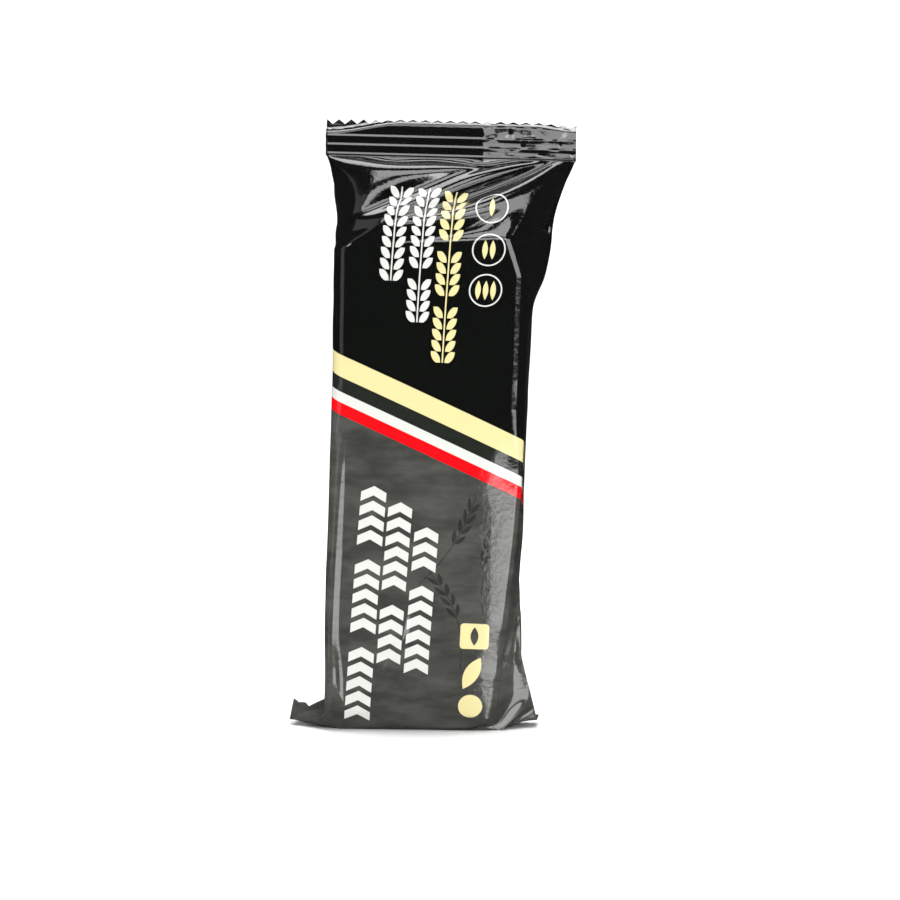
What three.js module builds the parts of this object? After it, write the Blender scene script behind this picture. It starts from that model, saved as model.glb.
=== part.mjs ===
// A shut flow-wrapped oat bar that stands on its folded bottom seal.
//
// The pack is one tube of film, welded flat at both ends and folded round a firm bar. The tube
// starts as smooth sections between the two seals, and then relaxes: every cell of the film wants
// its flat size back, the bar and the table hold it out, and the spare film settles into the
// gussets, ears and creases of a real wrapper. X runs across the front, Y runs from the front to
// the back, and Z is up. The origin is on the table under the middle of the finished pack.
import * as THREE from "three";

const { clamp, smoothstep, degToRad, lerp } = THREE.MathUtils;

// The film, in millimetres
const SEAL_WIDTH = 58; // the tube pressed flat, from side fold to side fold
const FILM_DOUBLE = 0.5; // two welded sheets, thick enough to stand as a solid
const TOOTH_DEPTH = 1.3; // zigzag of the knife that cuts the film
const TOP_SEAL = 8.4; // root of the seal to the foot of its teeth
const BOTTOM_SEAL = 7.6;
const CRIMP = { height: 0.19, rows: 3, band: 5.8 }; // ridges that the jaws press into the seal, one in 3 rows

// The bar inside, which only shows as the shape that it gives the film
const BAR = { halfWidth: 22.2, halfThickness: 7.9, halfLength: 57.2, spread: 0.011, topSlope: 0.07 };
const EDGE = { radius: 3.4, sharp: 1.2 };
const SHARP = { from: 9, full: 17, low: 0, high: 18 }; // the lower right edge of the front is the sharp one
const SHOULDERS = { right: { from: 47, slope: 0.36 }, left: { from: 52, slope: 0.5 } };
const WAIST = { from: -15, slope: 0.03 }; // the right side narrows downwards
const HIP = { from: 3, slope: 0.065 }; // and its front edge is bevelled besides
const CROWN = { from: 2, depth: 1.8, high: 16, fade: 14 }; // beside the hip the front falls back
const BAR_CENTRE = new THREE.Vector3(-0.55, 0, 58.9);
const LEAN = degToRad(1.5); // the pack leans to its right

// The tube round the bar before it relaxes
const PACK_THICKNESS = 16;
const PACK_CORNER = 4.3;

// The top seal: its root, the turns of its two ends, and the bend near its free edge
const TOP_ROOT = { x: 4.5, z: 132.3 };
const LEFT_END = { from: -13, turn: 0.1 };
const RIGHT_END = { from: 12, turn: 0.17 };
const CURL = { middle: 7.6, left: 5.2, right: 6.8, width: 0.8, lean: 2, over: 62, backUp: 34, upAfter: 2.1 };
// Where the curl changes towards the two ends, in shares of the seal's width from its middle
const LEFT_CURL = { from: -0.5, to: -0.18 };
const RAISED_CURL = { from: -0.36, to: -0.2 };
const RIGHT_CURL = { from: 0.3, to: 0.5 };
const CURL_STEPS = 24;

// The bottom seal: its root, its lifted ears, and the film in front that the weight presses flat
const BOTTOM_ROOT = { x: -4.1, y: -0.4 };
const LEFT_EAR = { from: 23.5, rise: 1.3, curl: 0.42 }; // radians by which the ear's free edge lifts
const RIGHT_EAR = { from: 14, rise: 1.7 };
const FOOT = { length: 5.4, left: -21, right: 17 };

// The small pleats that take up spare length beside the side folds, as a share of the film's length
const PLEATS = { shoulder: 0.81, leftBase: 0.93, rightBase: 0.65, reach: 20.3, baseReach: 11, height: 22 };
const RIGHT_CREASE = { x: 21.3, y: -0.3, z: 16.5, along: 24 }; // upper end of the right ear's straight crease

// The seam down the back: a third welded fin that lies folded to one side
const SEAM = { width: 8.7, height: 0.55 };

// The film's grid: cells across one sheet, and cells along each stretch of the tube
const COLUMNS = 40;
const AROUND = 2 * COLUMNS;
const CELL = SEAL_WIDTH / COLUMNS;
const STRETCHES = {
  bottomSeal: { length: BOTTOM_SEAL, cells: 4 },
  underside: { length: 8.9, cells: 9 },
  lowerPanel: { length: 24, cells: 12 },
  middlePanel: { length: 68, cells: 10 },
  upperPanel: { length: 22, cells: 10 },
  shoulder: { length: 20.2, cells: 15 },
  topSeal: { length: TOP_SEAL, cells: 12 },
};

// The relaxing
const ROUNDS = 1500;
const PUSH = { shoulder: 0.002, panel: -0.002, hip: -0.022, gusset: 0.01 }; // outward, per round
const HIP_PUSH = { high: 70, from: 0, full: 16, beyond: 8 }; // where the film is drawn in at the hip
const GUSSET_PUSH = { reach: 3, low: 12 }; // where the side fold is drawn out below the right shoulder
const STIFFNESS = { shear: 0.7, bend: 0.22 };
const CONTACT = 0.35; // least gap between film that lies on film
const PARTING = 8; // the stretch below the top seal over which the two sheets come apart
const IRONING = { rounds: 4, share: 0.5 };

// Distances along the film from the root of the bottom seal, one for each row of the grid.
function filmRows() {
  const rows = [-BOTTOM_SEAL - TOOTH_DEPTH];
  let start = -BOTTOM_SEAL;
  for (const { length, cells } of Object.values(STRETCHES)) {
    for (let k = 0; k < cells; k++) rows.push(start + (length * k) / cells);
    start += length;
  }
  rows.push(start, start + TOOTH_DEPTH);
  return rows;
}

const ROWS = filmRows();
const LAST_ROW = ROWS.length - 1;
const BOTTOM_ROW = 1 + STRETCHES.bottomSeal.cells; // the root of the bottom seal
const PANEL_LOW = BOTTOM_ROW + STRETCHES.underside.cells;
const TOP_ROW = LAST_ROW - 1 - STRETCHES.topSeal.cells; // the root of the top seal
const PANEL_HIGH = TOP_ROW - STRETCHES.shoulder.cells;
const PANEL_LENGTH = ROWS[PANEL_HIGH] - ROWS[PANEL_LOW];

// Columns 0 and COLUMNS are the side folds, with the front sheet between them and the back sheet after.
const isFront = (column) => column > 0 && column < COLUMNS;
const isBack = (column) => column > COLUMNS;
const sheetOf = (column) => (isFront(column) ? -1 : isBack(column) ? 1 : 0);
const acrossOf = (column) => (column <= COLUMNS ? column : AROUND - column) / COLUMNS - 0.5;
const indexOf = (row, column) => row * AROUND + ((column + AROUND) % AROUND);

// The body's section: a point at a distance along a rounded rectangle, from the middle of its left side.
function sectionPoint(distance) {
  const depth = PACK_THICKNESS / 2;
  const side = depth - PACK_CORNER;
  const corner = (Math.PI / 2) * PACK_CORNER;
  const wide = SEAL_WIDTH - 2 * side - 2 * corner;
  const halfWidth = wide / 2 + PACK_CORNER;
  const onBack = distance > SEAL_WIDTH;
  const onRight = (distance % SEAL_WIDTH > SEAL_WIDTH / 2) !== onBack;
  const fromFold = Math.min(distance % SEAL_WIDTH, SEAL_WIDTH - (distance % SEAL_WIDTH));
  const turn = clamp((fromFold - side) / PACK_CORNER, 0, Math.PI / 2);
  const inward = PACK_CORNER * (1 - Math.cos(turn)) + Math.max(0, fromFold - side - corner);
  const outward = Math.min(fromFold, side) + PACK_CORNER * Math.sin(turn);
  return new THREE.Vector2(
    (onRight ? 1 : -1) * (halfWidth - inward),
    (onBack ? 1 : -1) * outward,
  );
}

// A point of the body's tube, at a height along the leaning bar.
function bodyPoint(column, along) {
  const section = sectionPoint(column * CELL);
  return new THREE.Vector3(section.x, section.y, along)
    .applyAxisAngle(new THREE.Vector3(0, 1, 0), LEAN)
    .add(BAR_CENTRE);
}

// The top seal's root line, with its two ends turned back.
function topRoot(column) {
  const across = acrossOf(column) * SEAL_WIDTH;
  const rightTurn = Math.max(0, across + TOP_ROOT.x - RIGHT_END.from) * RIGHT_END.turn;
  const leftTurn = Math.max(0, LEFT_END.from - across) * LEFT_END.turn;
  return new THREE.Vector3(
    TOP_ROOT.x + across * Math.cos(LEAN),
    rightTurn + leftTurn,
    TOP_ROOT.z - across * Math.sin(LEAN),
  );
}

// How far the top seal leans back at a distance above its root: it bends over, and at the left up again.
function topLean(across, distance) {
  const atLeft = 1 - smoothstep(across, LEFT_CURL.from, LEFT_CURL.to);
  const raised = 1 - smoothstep(across, RAISED_CURL.from, RAISED_CURL.to);
  const atRight = smoothstep(across, RIGHT_CURL.from, RIGHT_CURL.to);
  const fold = lerp(lerp(CURL.middle, CURL.left, atLeft), CURL.right, atRight);
  const half = CURL.width / 2;
  const over = smoothstep(distance, fold - half, fold + half);
  const up = smoothstep(distance - CURL.upAfter, fold - half, fold + half);
  return degToRad(CURL.lean + CURL.over * over - CURL.backUp * up * raised);
}

// One welded point of the top seal, found by walking up from its root.
function topSealPoint(column, distance) {
  const point = topRoot(column);
  const step = distance / CURL_STEPS;
  for (let k = 0; k < CURL_STEPS; k++) {
    const lean = topLean(acrossOf(column), step * (k + 0.5));
    point.y += Math.sin(lean) * step;
    point.z += Math.cos(lean) * step;
  }
  const lean = topLean(acrossOf(column), distance);
  const offset = (sheetOf(column) * FILM_DOUBLE) / 2;
  return point.add(new THREE.Vector3(0, Math.cos(lean) * offset, -Math.sin(lean) * offset));
}

// The height of the folded bottom seal's lower face above the table, at a place under the pack.
function finHeight(x, distance) {
  const atRight = smoothstep(x, RIGHT_EAR.from, SEAL_WIDTH / 2 + BOTTOM_ROOT.x);
  const atLeft = smoothstep(-x, LEFT_EAR.from, SEAL_WIDTH / 2 - BOTTOM_ROOT.x);
  const rise = RIGHT_EAR.rise * atRight + LEFT_EAR.rise * atLeft;
  return rise + Math.max(0, distance) * Math.sin(LEFT_EAR.curl * atLeft);
}

// One welded point of the bottom seal, which lies on the table and points to the back.
function bottomSealPoint(column, distance) {
  const x = BOTTOM_ROOT.x + acrossOf(column) * SEAL_WIDTH;
  const layer = (FILM_DOUBLE * (1 + sheetOf(column))) / 2;
  return new THREE.Vector3(x, BOTTOM_ROOT.y + distance, layer + finHeight(x, distance));
}

// Every other column of a seal's outermost row is drawn in, which leaves the teeth.
const toothInset = (row, column) => ((row === 0 || row === LAST_ROW) && column % 2 === 0 ? TOOTH_DEPTH : 0);

// The film in front of the bottom seal, which the weight presses flat on the table.
function isFoot(row, column) {
  const x = BOTTOM_ROOT.x + acrossOf(column) * SEAL_WIDTH;
  return row > BOTTOM_ROW && ROWS[row] <= FOOT.length && isFront(column) && x > FOOT.left && x < FOOT.right;
}

// The right side fold's lowest stretch, which is creased straight out to the ear.
function isCrease(row, column) {
  return column === COLUMNS && row > BOTTOM_ROW && ROWS[row] <= RIGHT_CREASE.along;
}

// Where a point of the film starts, before it relaxes.
function startPoint(row, column) {
  const along = ROWS[row];
  const low = -PANEL_LENGTH / 2;
  if (row <= BOTTOM_ROW) return bottomSealPoint(column, -along - toothInset(row, column));
  if (isFoot(row, column)) return bottomSealPoint(column, -along).setZ(0);
  if (isCrease(row, column)) {
    const { x, y, z } = RIGHT_CREASE;
    return bottomSealPoint(column, 0).lerp(new THREE.Vector3(x, y, z), along / RIGHT_CREASE.along);
  }
  if (row < PANEL_LOW) {
    const share = along / STRETCHES.underside.length;
    return bottomSealPoint(column, 0).lerp(bodyPoint(column, low), share);
  }
  if (row <= PANEL_HIGH) return bodyPoint(column, low + along - ROWS[PANEL_LOW]);
  if (row < TOP_ROW) {
    const share = (along - ROWS[PANEL_HIGH]) / STRETCHES.shoulder.length;
    return bodyPoint(column, -low).lerp(topSealPoint(column, 0), share);
  }
  return topSealPoint(column, along - ROWS[TOP_ROW] - toothInset(row, column));
}

// The share of the film's length that its pleats leave at a place: all of it, but for the ends' side folds.
function pleated(along, column) {
  const atTop = along > ROWS[PANEL_HIGH] ? 1 : 0;
  const atBase = along < PLEATS.height ? 1 : 0;
  const reach = atBase ? PLEATS.baseReach : PLEATS.reach;
  const fromLeft = 1 - smoothstep(Math.min(column, AROUND - column) * CELL, 0, reach);
  const fromRight = 1 - smoothstep(Math.abs(COLUMNS - column) * CELL, 0, reach);
  const left = lerp(1, PLEATS.leftBase, atBase * fromLeft) * lerp(1, PLEATS.shoulder, atTop * fromLeft);
  const right = lerp(1, PLEATS.rightBase, atBase * fromRight) * lerp(1, PLEATS.shoulder, atTop * fromRight);
  return left * right;
}

// The links that keep the film its size: along both threads, across both diagonals, and over two cells.
function filmLinks() {
  const links = [];
  const link = (rowA, columnA, rowB, columnB, share) => {
    if (rowB > TOP_ROW + 1) return;
    const shorter = pleated((ROWS[rowA] + ROWS[rowB]) / 2, ((columnA + columnB) / 2) % AROUND);
    const rest = Math.hypot((ROWS[rowB] - ROWS[rowA]) * shorter, (columnB - columnA) * CELL);
    links.push({ a: indexOf(rowA, columnA), b: indexOf(rowB, columnB), rest, share });
  };
  for (let row = BOTTOM_ROW; row <= TOP_ROW; row++)
    for (let column = 0; column < AROUND; column++) {
      link(row, column, row, column + 1, 1);
      link(row, column, row + 1, column, 1);
      link(row, column, row + 1, column + 1, STIFFNESS.shear);
      link(row, column + 1, row + 1, column, STIFFNESS.shear);
      link(row, column, row, column + 2, STIFFNESS.bend);
      link(row, column, row + 2, column, STIFFNESS.bend);
    }
  return links;
}

// Pulls two points of the film towards their distance at rest.
function pull(points, held, { a, b, rest, share }) {
  const free = (held[a] ? 0 : 1) + (held[b] ? 0 : 1);
  if (!free) return;
  const [i, j] = [3 * a, 3 * b];
  const apart = [points[j] - points[i], points[j + 1] - points[i + 1], points[j + 2] - points[i + 2]];
  const length = Math.hypot(...apart) || Number.EPSILON;
  const step = (share * (length - rest)) / length / free;
  for (let axis = 0; axis < 3; axis++) {
    if (!held[a]) points[i + axis] += apart[axis] * step;
    if (!held[b]) points[j + axis] -= apart[axis] * step;
  }
}

// How far a point of the film is pushed outward in a round: by gas in the shoulder, inward at the hip.
function pushAt(row, column) {
  if (row < PANEL_LOW) return 0;
  const along = ROWS[row];
  const wide = column * CELL - SEAL_WIDTH / 2;
  const belowPanelHigh = ROWS[PANEL_HIGH] - along;
  const onGusset = Math.abs(wide - SEAL_WIDTH / 2) < GUSSET_PUSH.reach;
  if (onGusset && belowPanelHigh > 0 && belowPanelHigh < GUSSET_PUSH.low) return PUSH.gusset;
  if (belowPanelHigh < 0) return PUSH.shoulder;
  const onHip = along < HIP_PUSH.high && wide < SEAL_WIDTH / 2 + HIP_PUSH.beyond;
  return onHip ? lerp(PUSH.panel, PUSH.hip, smoothstep(wide, HIP_PUSH.from, HIP_PUSH.full)) : PUSH.panel;
}

// Pushes the film outward, as the gas in the pack does, or inward when the amount is negative.
function puff(points, held) {
  const corner = (row, column) => new THREE.Vector3().fromArray(points, 3 * indexOf(row, column));
  for (let row = BOTTOM_ROW + 1; row < TOP_ROW; row++) {
    for (let column = 0; column < AROUND; column++) {
      const at = indexOf(row, column);
      if (held[at]) continue;
      const amount = pushAt(row, column);
      const along = corner(row + 1, column).sub(corner(row - 1, column));
      const normal = corner(row, column + 1).sub(corner(row, column - 1)).cross(along).normalize();
      points[3 * at] += normal.x * amount;
      points[3 * at + 1] += normal.y * amount;
      points[3 * at + 2] += normal.z * amount;
    }
  }
}

// The bar's half sizes and its edge's radius where a point lies: the box is bevelled at the
// shoulders and the hip, and sharper at the front's lower right.
function barAt([side, depth, height]) {
  const inFront = depth < 0 ? 1 : 0;
  const shoulder = side > 0 ? SHOULDERS.right : SHOULDERS.left;
  let bevel = Math.max(0, height - shoulder.from) * shoulder.slope;
  if (side > 0) {
    const front = clamp(-depth / BAR.halfThickness, 0, 1);
    bevel += Math.max(0, WAIST.from - height) * WAIST.slope;
    bevel += Math.max(0, HIP.from - height) * HIP.slope * front;
  }
  const low = inFront * clamp((CROWN.high - height) / CROWN.fade, 0, 1);
  const beside = clamp((side - CROWN.from) / (BAR.halfWidth - CROWN.from), 0, 1);
  const above = smoothstep(height, SHARP.low, SHARP.high);
  const sharp = inFront * smoothstep(side, SHARP.from, SHARP.full) * (1 - above);
  const halves = [
    BAR.halfWidth + BAR.spread * height - bevel,
    BAR.halfThickness - CROWN.depth * low * beside ** 2,
    BAR.halfLength + (height > 0 ? BAR.topSlope * side : 0),
  ];
  return { halves, radius: lerp(EDGE.radius, EDGE.sharp, sharp) };
}

// Keeps a point of the film out of the bar: a rounded box, met in its own leaning frame.
function clearBar(points, at) {
  const [cos, sin] = [Math.cos(LEAN), Math.sin(LEAN)];
  const [wx, wz] = [points[3 * at] - BAR_CENTRE.x, points[3 * at + 2] - BAR_CENTRE.z];
  const local = [wx * cos - wz * sin, points[3 * at + 1] - BAR_CENTRE.y, wx * sin + wz * cos];
  const { halves, radius } = barAt(local);
  const beyond = local.map((value, k) => value - clamp(value, radius - halves[k], halves[k] - radius));
  const distance = Math.hypot(...beyond);
  if (distance >= radius || distance === 0) return;
  const [x, y, z] = local.map((value, k) => value + beyond[k] * (radius / distance - 1));
  points[3 * at] = x * cos + z * sin + BAR_CENTRE.x;
  points[3 * at + 1] = y + BAR_CENTRE.y;
  points[3 * at + 2] = z * cos - x * sin + BAR_CENTRE.z;
}

// Keeps the film above the table and its own folded seal, and the two sheets apart below the top seal.
function clearFilm(points, row, column) {
  const at = 3 * indexOf(row, column);
  const sheet = sheetOf(column);
  if (row <= PANEL_LOW) {
    const onSeal = sheet >= 0 || points[at + 1] > BOTTOM_ROOT.y;
    const seal = finHeight(points[at], points[at + 1] - BOTTOM_ROOT.y) + FILM_DOUBLE + CONTACT;
    const least = !onSeal ? 0 : sheet > 0 ? seal : seal - FILM_DOUBLE - CONTACT;
    points[at + 2] = Math.max(points[at + 2], least);
  }
  if (row > PANEL_HIGH && sheet) {
    const middle = topRoot(column).y;
    const share = clamp((ROWS[TOP_ROW] - ROWS[row]) / PARTING, 0, 1);
    const apart = lerp(FILM_DOUBLE / 2, CONTACT, share);
    if (sheet * (points[at + 1] - middle) < apart) points[at + 1] = middle + sheet * apart;
  }
}

// Lets the whole tube settle, with the two seals, the foot and the crease held.
function relax(points) {
  const held = new Uint8Array(ROWS.length * AROUND);
  for (let row = 0; row < ROWS.length; row++)
    for (let column = 0; column < AROUND; column++)
      if (row <= BOTTOM_ROW || row >= TOP_ROW || isFoot(row, column) || isCrease(row, column))
        held[indexOf(row, column)] = 1;
  const links = filmLinks();
  for (let round = 0; round < ROUNDS; round++) {
    puff(points, held);
    for (const each of round % 2 ? links.toReversed() : links) pull(points, held, each);
    for (let row = BOTTOM_ROW + 1; row < TOP_ROW; row++)
      for (let column = 0; column < AROUND; column++) {
        if (held[indexOf(row, column)]) continue;
        clearBar(points, indexOf(row, column));
        clearFilm(points, row, column);
      }
  }
  return held;
}

// Irons out what is finer than the grid can carry: each free point moves towards the mean of its neighbours.
function iron(points, held) {
  for (let round = 0; round < IRONING.rounds; round++) {
    const before = points.slice();
    for (let row = BOTTOM_ROW + 1; row < TOP_ROW; row++)
      for (let column = 0; column < AROUND; column++) {
        const at = indexOf(row, column);
        if (held[at]) continue;
        const beside = [indexOf(row, column - 1), indexOf(row, column + 1)];
        const share = (ROWS[row] - ROWS[row - 1]) / (ROWS[row + 1] - ROWS[row - 1]);
        for (let axis = 0; axis < 3; axis++) {
          const across = (before[3 * beside[0] + axis] + before[3 * beside[1] + axis]) / 2;
          const below = before[3 * indexOf(row - 1, column) + axis];
          const above = before[3 * indexOf(row + 1, column) + axis];
          const mean = (across + lerp(below, above, share)) / 2;
          points[3 * at + axis] = lerp(before[3 * at + axis], mean, IRONING.share);
        }
        clearBar(points, at);
        clearFilm(points, row, column);
      }
  }
}

// Presses the jaws' ridges into the top seal, towards the front in both sheets.
function pressCrimps(points) {
  for (let row = TOP_ROW + 1; ROWS[row] - ROWS[TOP_ROW] < CRIMP.band; row += CRIMP.rows)
    for (let column = 0; column < AROUND; column++) points[3 * indexOf(row, column) + 1] -= CRIMP.height;
}

// Raises the folded back seam, which runs from seal to seal beside the middle of the back sheet.
function raiseSeam(points) {
  const cells = Math.round(SEAM.width / CELL);
  const first = COLUMNS + COLUMNS / 2;
  for (let row = PANEL_LOW; row <= TOP_ROW; row++)
    for (let column = first; column <= first + cells; column++)
      points[3 * indexOf(row, column) + 1] += SEAM.height;
}

// Joins the rows into one closed skin, with each cut edge capped between its two sheets.
function skinFaces() {
  const faces = [];
  for (let row = 0; row < LAST_ROW; row++)
    for (let column = 0; column < AROUND; column++) {
      const [a, b] = [indexOf(row, column), indexOf(row, column + 1)];
      const [c, d] = [indexOf(row + 1, column + 1), indexOf(row + 1, column)];
      if ((row + column) % 2) faces.push(a, b, c, a, c, d);
      else faces.push(a, b, d, b, c, d);
    }
  for (let column = 0; column < COLUMNS; column++)
    for (const row of [0, LAST_ROW]) {
      const [front, nextFront] = [indexOf(row, column), indexOf(row, column + 1)];
      const [back, nextBack] = [indexOf(row, AROUND - column), indexOf(row, AROUND - column - 1)];
      const caps = [];
      if (nextFront !== nextBack) caps.push([front, nextFront, nextBack]);
      if (front !== back) caps.push([front, nextBack, back]);
      for (const cap of caps) faces.push(...(row ? cap : cap.toReversed()));
    }
  return faces;
}

// The whole pack, standing with the middle of its outline over the origin.
function flowPack() {
  const points = new Float64Array(3 * ROWS.length * AROUND);
  for (let row = 0; row < ROWS.length; row++)
    for (let column = 0; column < AROUND; column++)
      startPoint(row, column).toArray(points, 3 * indexOf(row, column));
  iron(points, relax(points));
  pressCrimps(points);
  raiseSeam(points);
  const skin = new THREE.BufferGeometry();
  skin.setAttribute("position", new THREE.BufferAttribute(new Float32Array(points), 3));
  skin.setIndex(skinFaces());
  skin.computeBoundingBox();
  const middle = skin.boundingBox.getCenter(new THREE.Vector3());
  skin.translate(-middle.x, -middle.y, -skin.boundingBox.min.z);
  skin.computeVertexNormals();
  const film = new THREE.MeshStandardMaterial({ color: 0x0c0d0d, roughness: 0.16, metalness: 0.1 });
  const mesh = new THREE.Mesh(skin, film);
  mesh.name = "flow_pack";
  return mesh;
}

const pack = new THREE.Group();
pack.add(flowPack());

export default pack;
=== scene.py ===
"""A shut, glossy flow-wrapped oat bar that stands on its folded bottom seal.

The film is one tube, welded flat at both ends and folded round a firm bar. It settles here on a fine
grid, from the same sizes as the solid that it stands for: every cell of the film wants its flat size
back, the bar and the table hold it out, and the spare film falls into gussets, ears and creases. The
print is laid out on the flat film, so that it follows every fold. Lengths in the classes are in
millimetres, and meshes are made in metres.
"""

from __future__ import annotations

import logging
import math
from dataclasses import dataclass, field
from enum import Enum

import bpy
import numpy as np
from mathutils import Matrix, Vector


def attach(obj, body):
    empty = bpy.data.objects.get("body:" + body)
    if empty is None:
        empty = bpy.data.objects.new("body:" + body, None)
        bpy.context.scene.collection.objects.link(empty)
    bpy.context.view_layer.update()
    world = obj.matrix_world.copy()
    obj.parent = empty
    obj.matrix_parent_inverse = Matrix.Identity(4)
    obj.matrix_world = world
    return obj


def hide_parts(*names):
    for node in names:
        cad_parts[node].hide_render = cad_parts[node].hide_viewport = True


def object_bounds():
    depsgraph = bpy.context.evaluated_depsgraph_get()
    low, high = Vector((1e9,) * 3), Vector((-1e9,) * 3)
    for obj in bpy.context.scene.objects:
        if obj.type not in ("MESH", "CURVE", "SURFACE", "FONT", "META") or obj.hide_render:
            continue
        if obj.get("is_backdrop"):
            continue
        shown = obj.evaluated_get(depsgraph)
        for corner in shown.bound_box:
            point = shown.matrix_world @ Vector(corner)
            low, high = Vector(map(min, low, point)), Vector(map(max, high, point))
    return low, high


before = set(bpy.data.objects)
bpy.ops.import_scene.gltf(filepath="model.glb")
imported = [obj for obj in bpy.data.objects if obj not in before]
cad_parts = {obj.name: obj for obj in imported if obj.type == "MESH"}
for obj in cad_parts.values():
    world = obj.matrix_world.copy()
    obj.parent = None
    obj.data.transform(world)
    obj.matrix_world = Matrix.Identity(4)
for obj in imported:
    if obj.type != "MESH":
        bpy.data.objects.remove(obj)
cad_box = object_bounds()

LOG = logging.getLogger("pack")
METRES = 0.001
Array = np.ndarray
Colour = tuple[float, float, float]
Paint = bpy.types.NodeSocket | Colour
Span = tuple[float, float]

# A length and an area, in millimetres, that no division is made by less than.
LEAST_LENGTH = 1e-6
LEAST_AREA = 1e-9

# The UV map that holds the flat film: where the bottom seal's root is, and the map's length.
FILM_MAP = "film"
PRINT_START = 0.06
PRINT_LENGTH = 175.0


def ease(value: Array | float, start: float, end: float) -> Array:
    """Runs smoothly from 0 at start to 1 at end.

    Args:
        value: Where to look, one number or an array.
        start: The value up to which the result is 0.
        end: The value from which the result is 1.

    Returns:
        The eased share, in an array of the value's shape.
    """
    share = np.clip((np.asarray(value, float) - start) / (end - start), 0, 1)
    return share * share * (3 - 2 * share)


def blend(first: Array | float, second: Array | float, share: Array | float) -> Array:
    """Mixes two values: the first at a share of 0, the second at 1."""
    return first + (second - first) * share


def midway(before: Array, first: Array, second: Array, after: Array) -> Array:
    """The place halfway between the middle two of four, on the cubic through all four."""
    return (9 * (first + second) - before - after) / 16


def size(vectors: Array | list[Array]) -> Array:
    """The lengths of vectors, whose three coordinates come first."""
    return np.sqrt(vectors[0] ** 2 + vectors[1] ** 2 + vectors[2] ** 2)


@dataclass(frozen=True)
class Stretch:
    """A stretch along the film.

    Attributes:
        length: Its length in millimetres.
        cells: How many rows of cells it has on the coarsest grid.
    """

    length: float
    cells: int


@dataclass(frozen=True)
class Film:
    """The flat film's sizes, and its stretches from the bottom seal's root to the top seal's.

    Attributes:
        seal_width: The width of the film when it is pressed flat.
        double: How thick its two sheets are together.
        tooth_depth: How deep the zigzag of its cut edges is.
        teeth: How many teeth each cut edge has.
        top_seal: From the top seal's root to the tips of its teeth, less one tooth.
        bottom_seal: The same of the bottom seal.
        underside: The film under the pack.
        lower_panel: The film round the lower end of the bar.
        middle_panel: The film round its middle.
        upper_panel: The film round its upper end.
        shoulder: The film above the bar.
    """

    seal_width: float = 58.0
    double: float = 0.18
    tooth_depth: float = 1.3
    teeth: int = 20
    top_seal: float = 8.4
    bottom_seal: float = 7.6
    underside: Stretch = Stretch(8.9, 6)
    lower_panel: Stretch = Stretch(24, 16)
    middle_panel: Stretch = Stretch(68, 34)
    upper_panel: Stretch = Stretch(22, 15)
    shoulder: Stretch = Stretch(20.2, 14)

    @property
    def stretches(self) -> tuple[Stretch, ...]:
        """The five stretches between the seals, from the bottom up."""
        return self.underside, self.lower_panel, self.middle_panel, self.upper_panel, self.shoulder

    @property
    def length(self) -> float:
        """The film's length between the roots of its two seals."""
        return sum(stretch.length for stretch in self.stretches)

    @property
    def panel_low(self) -> float:
        """Where the underside ends and the panel starts."""
        return self.underside.length

    @property
    def panel_high(self) -> float:
        """Where the panel ends and the shoulder starts."""
        return self.length - self.shoulder.length


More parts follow.
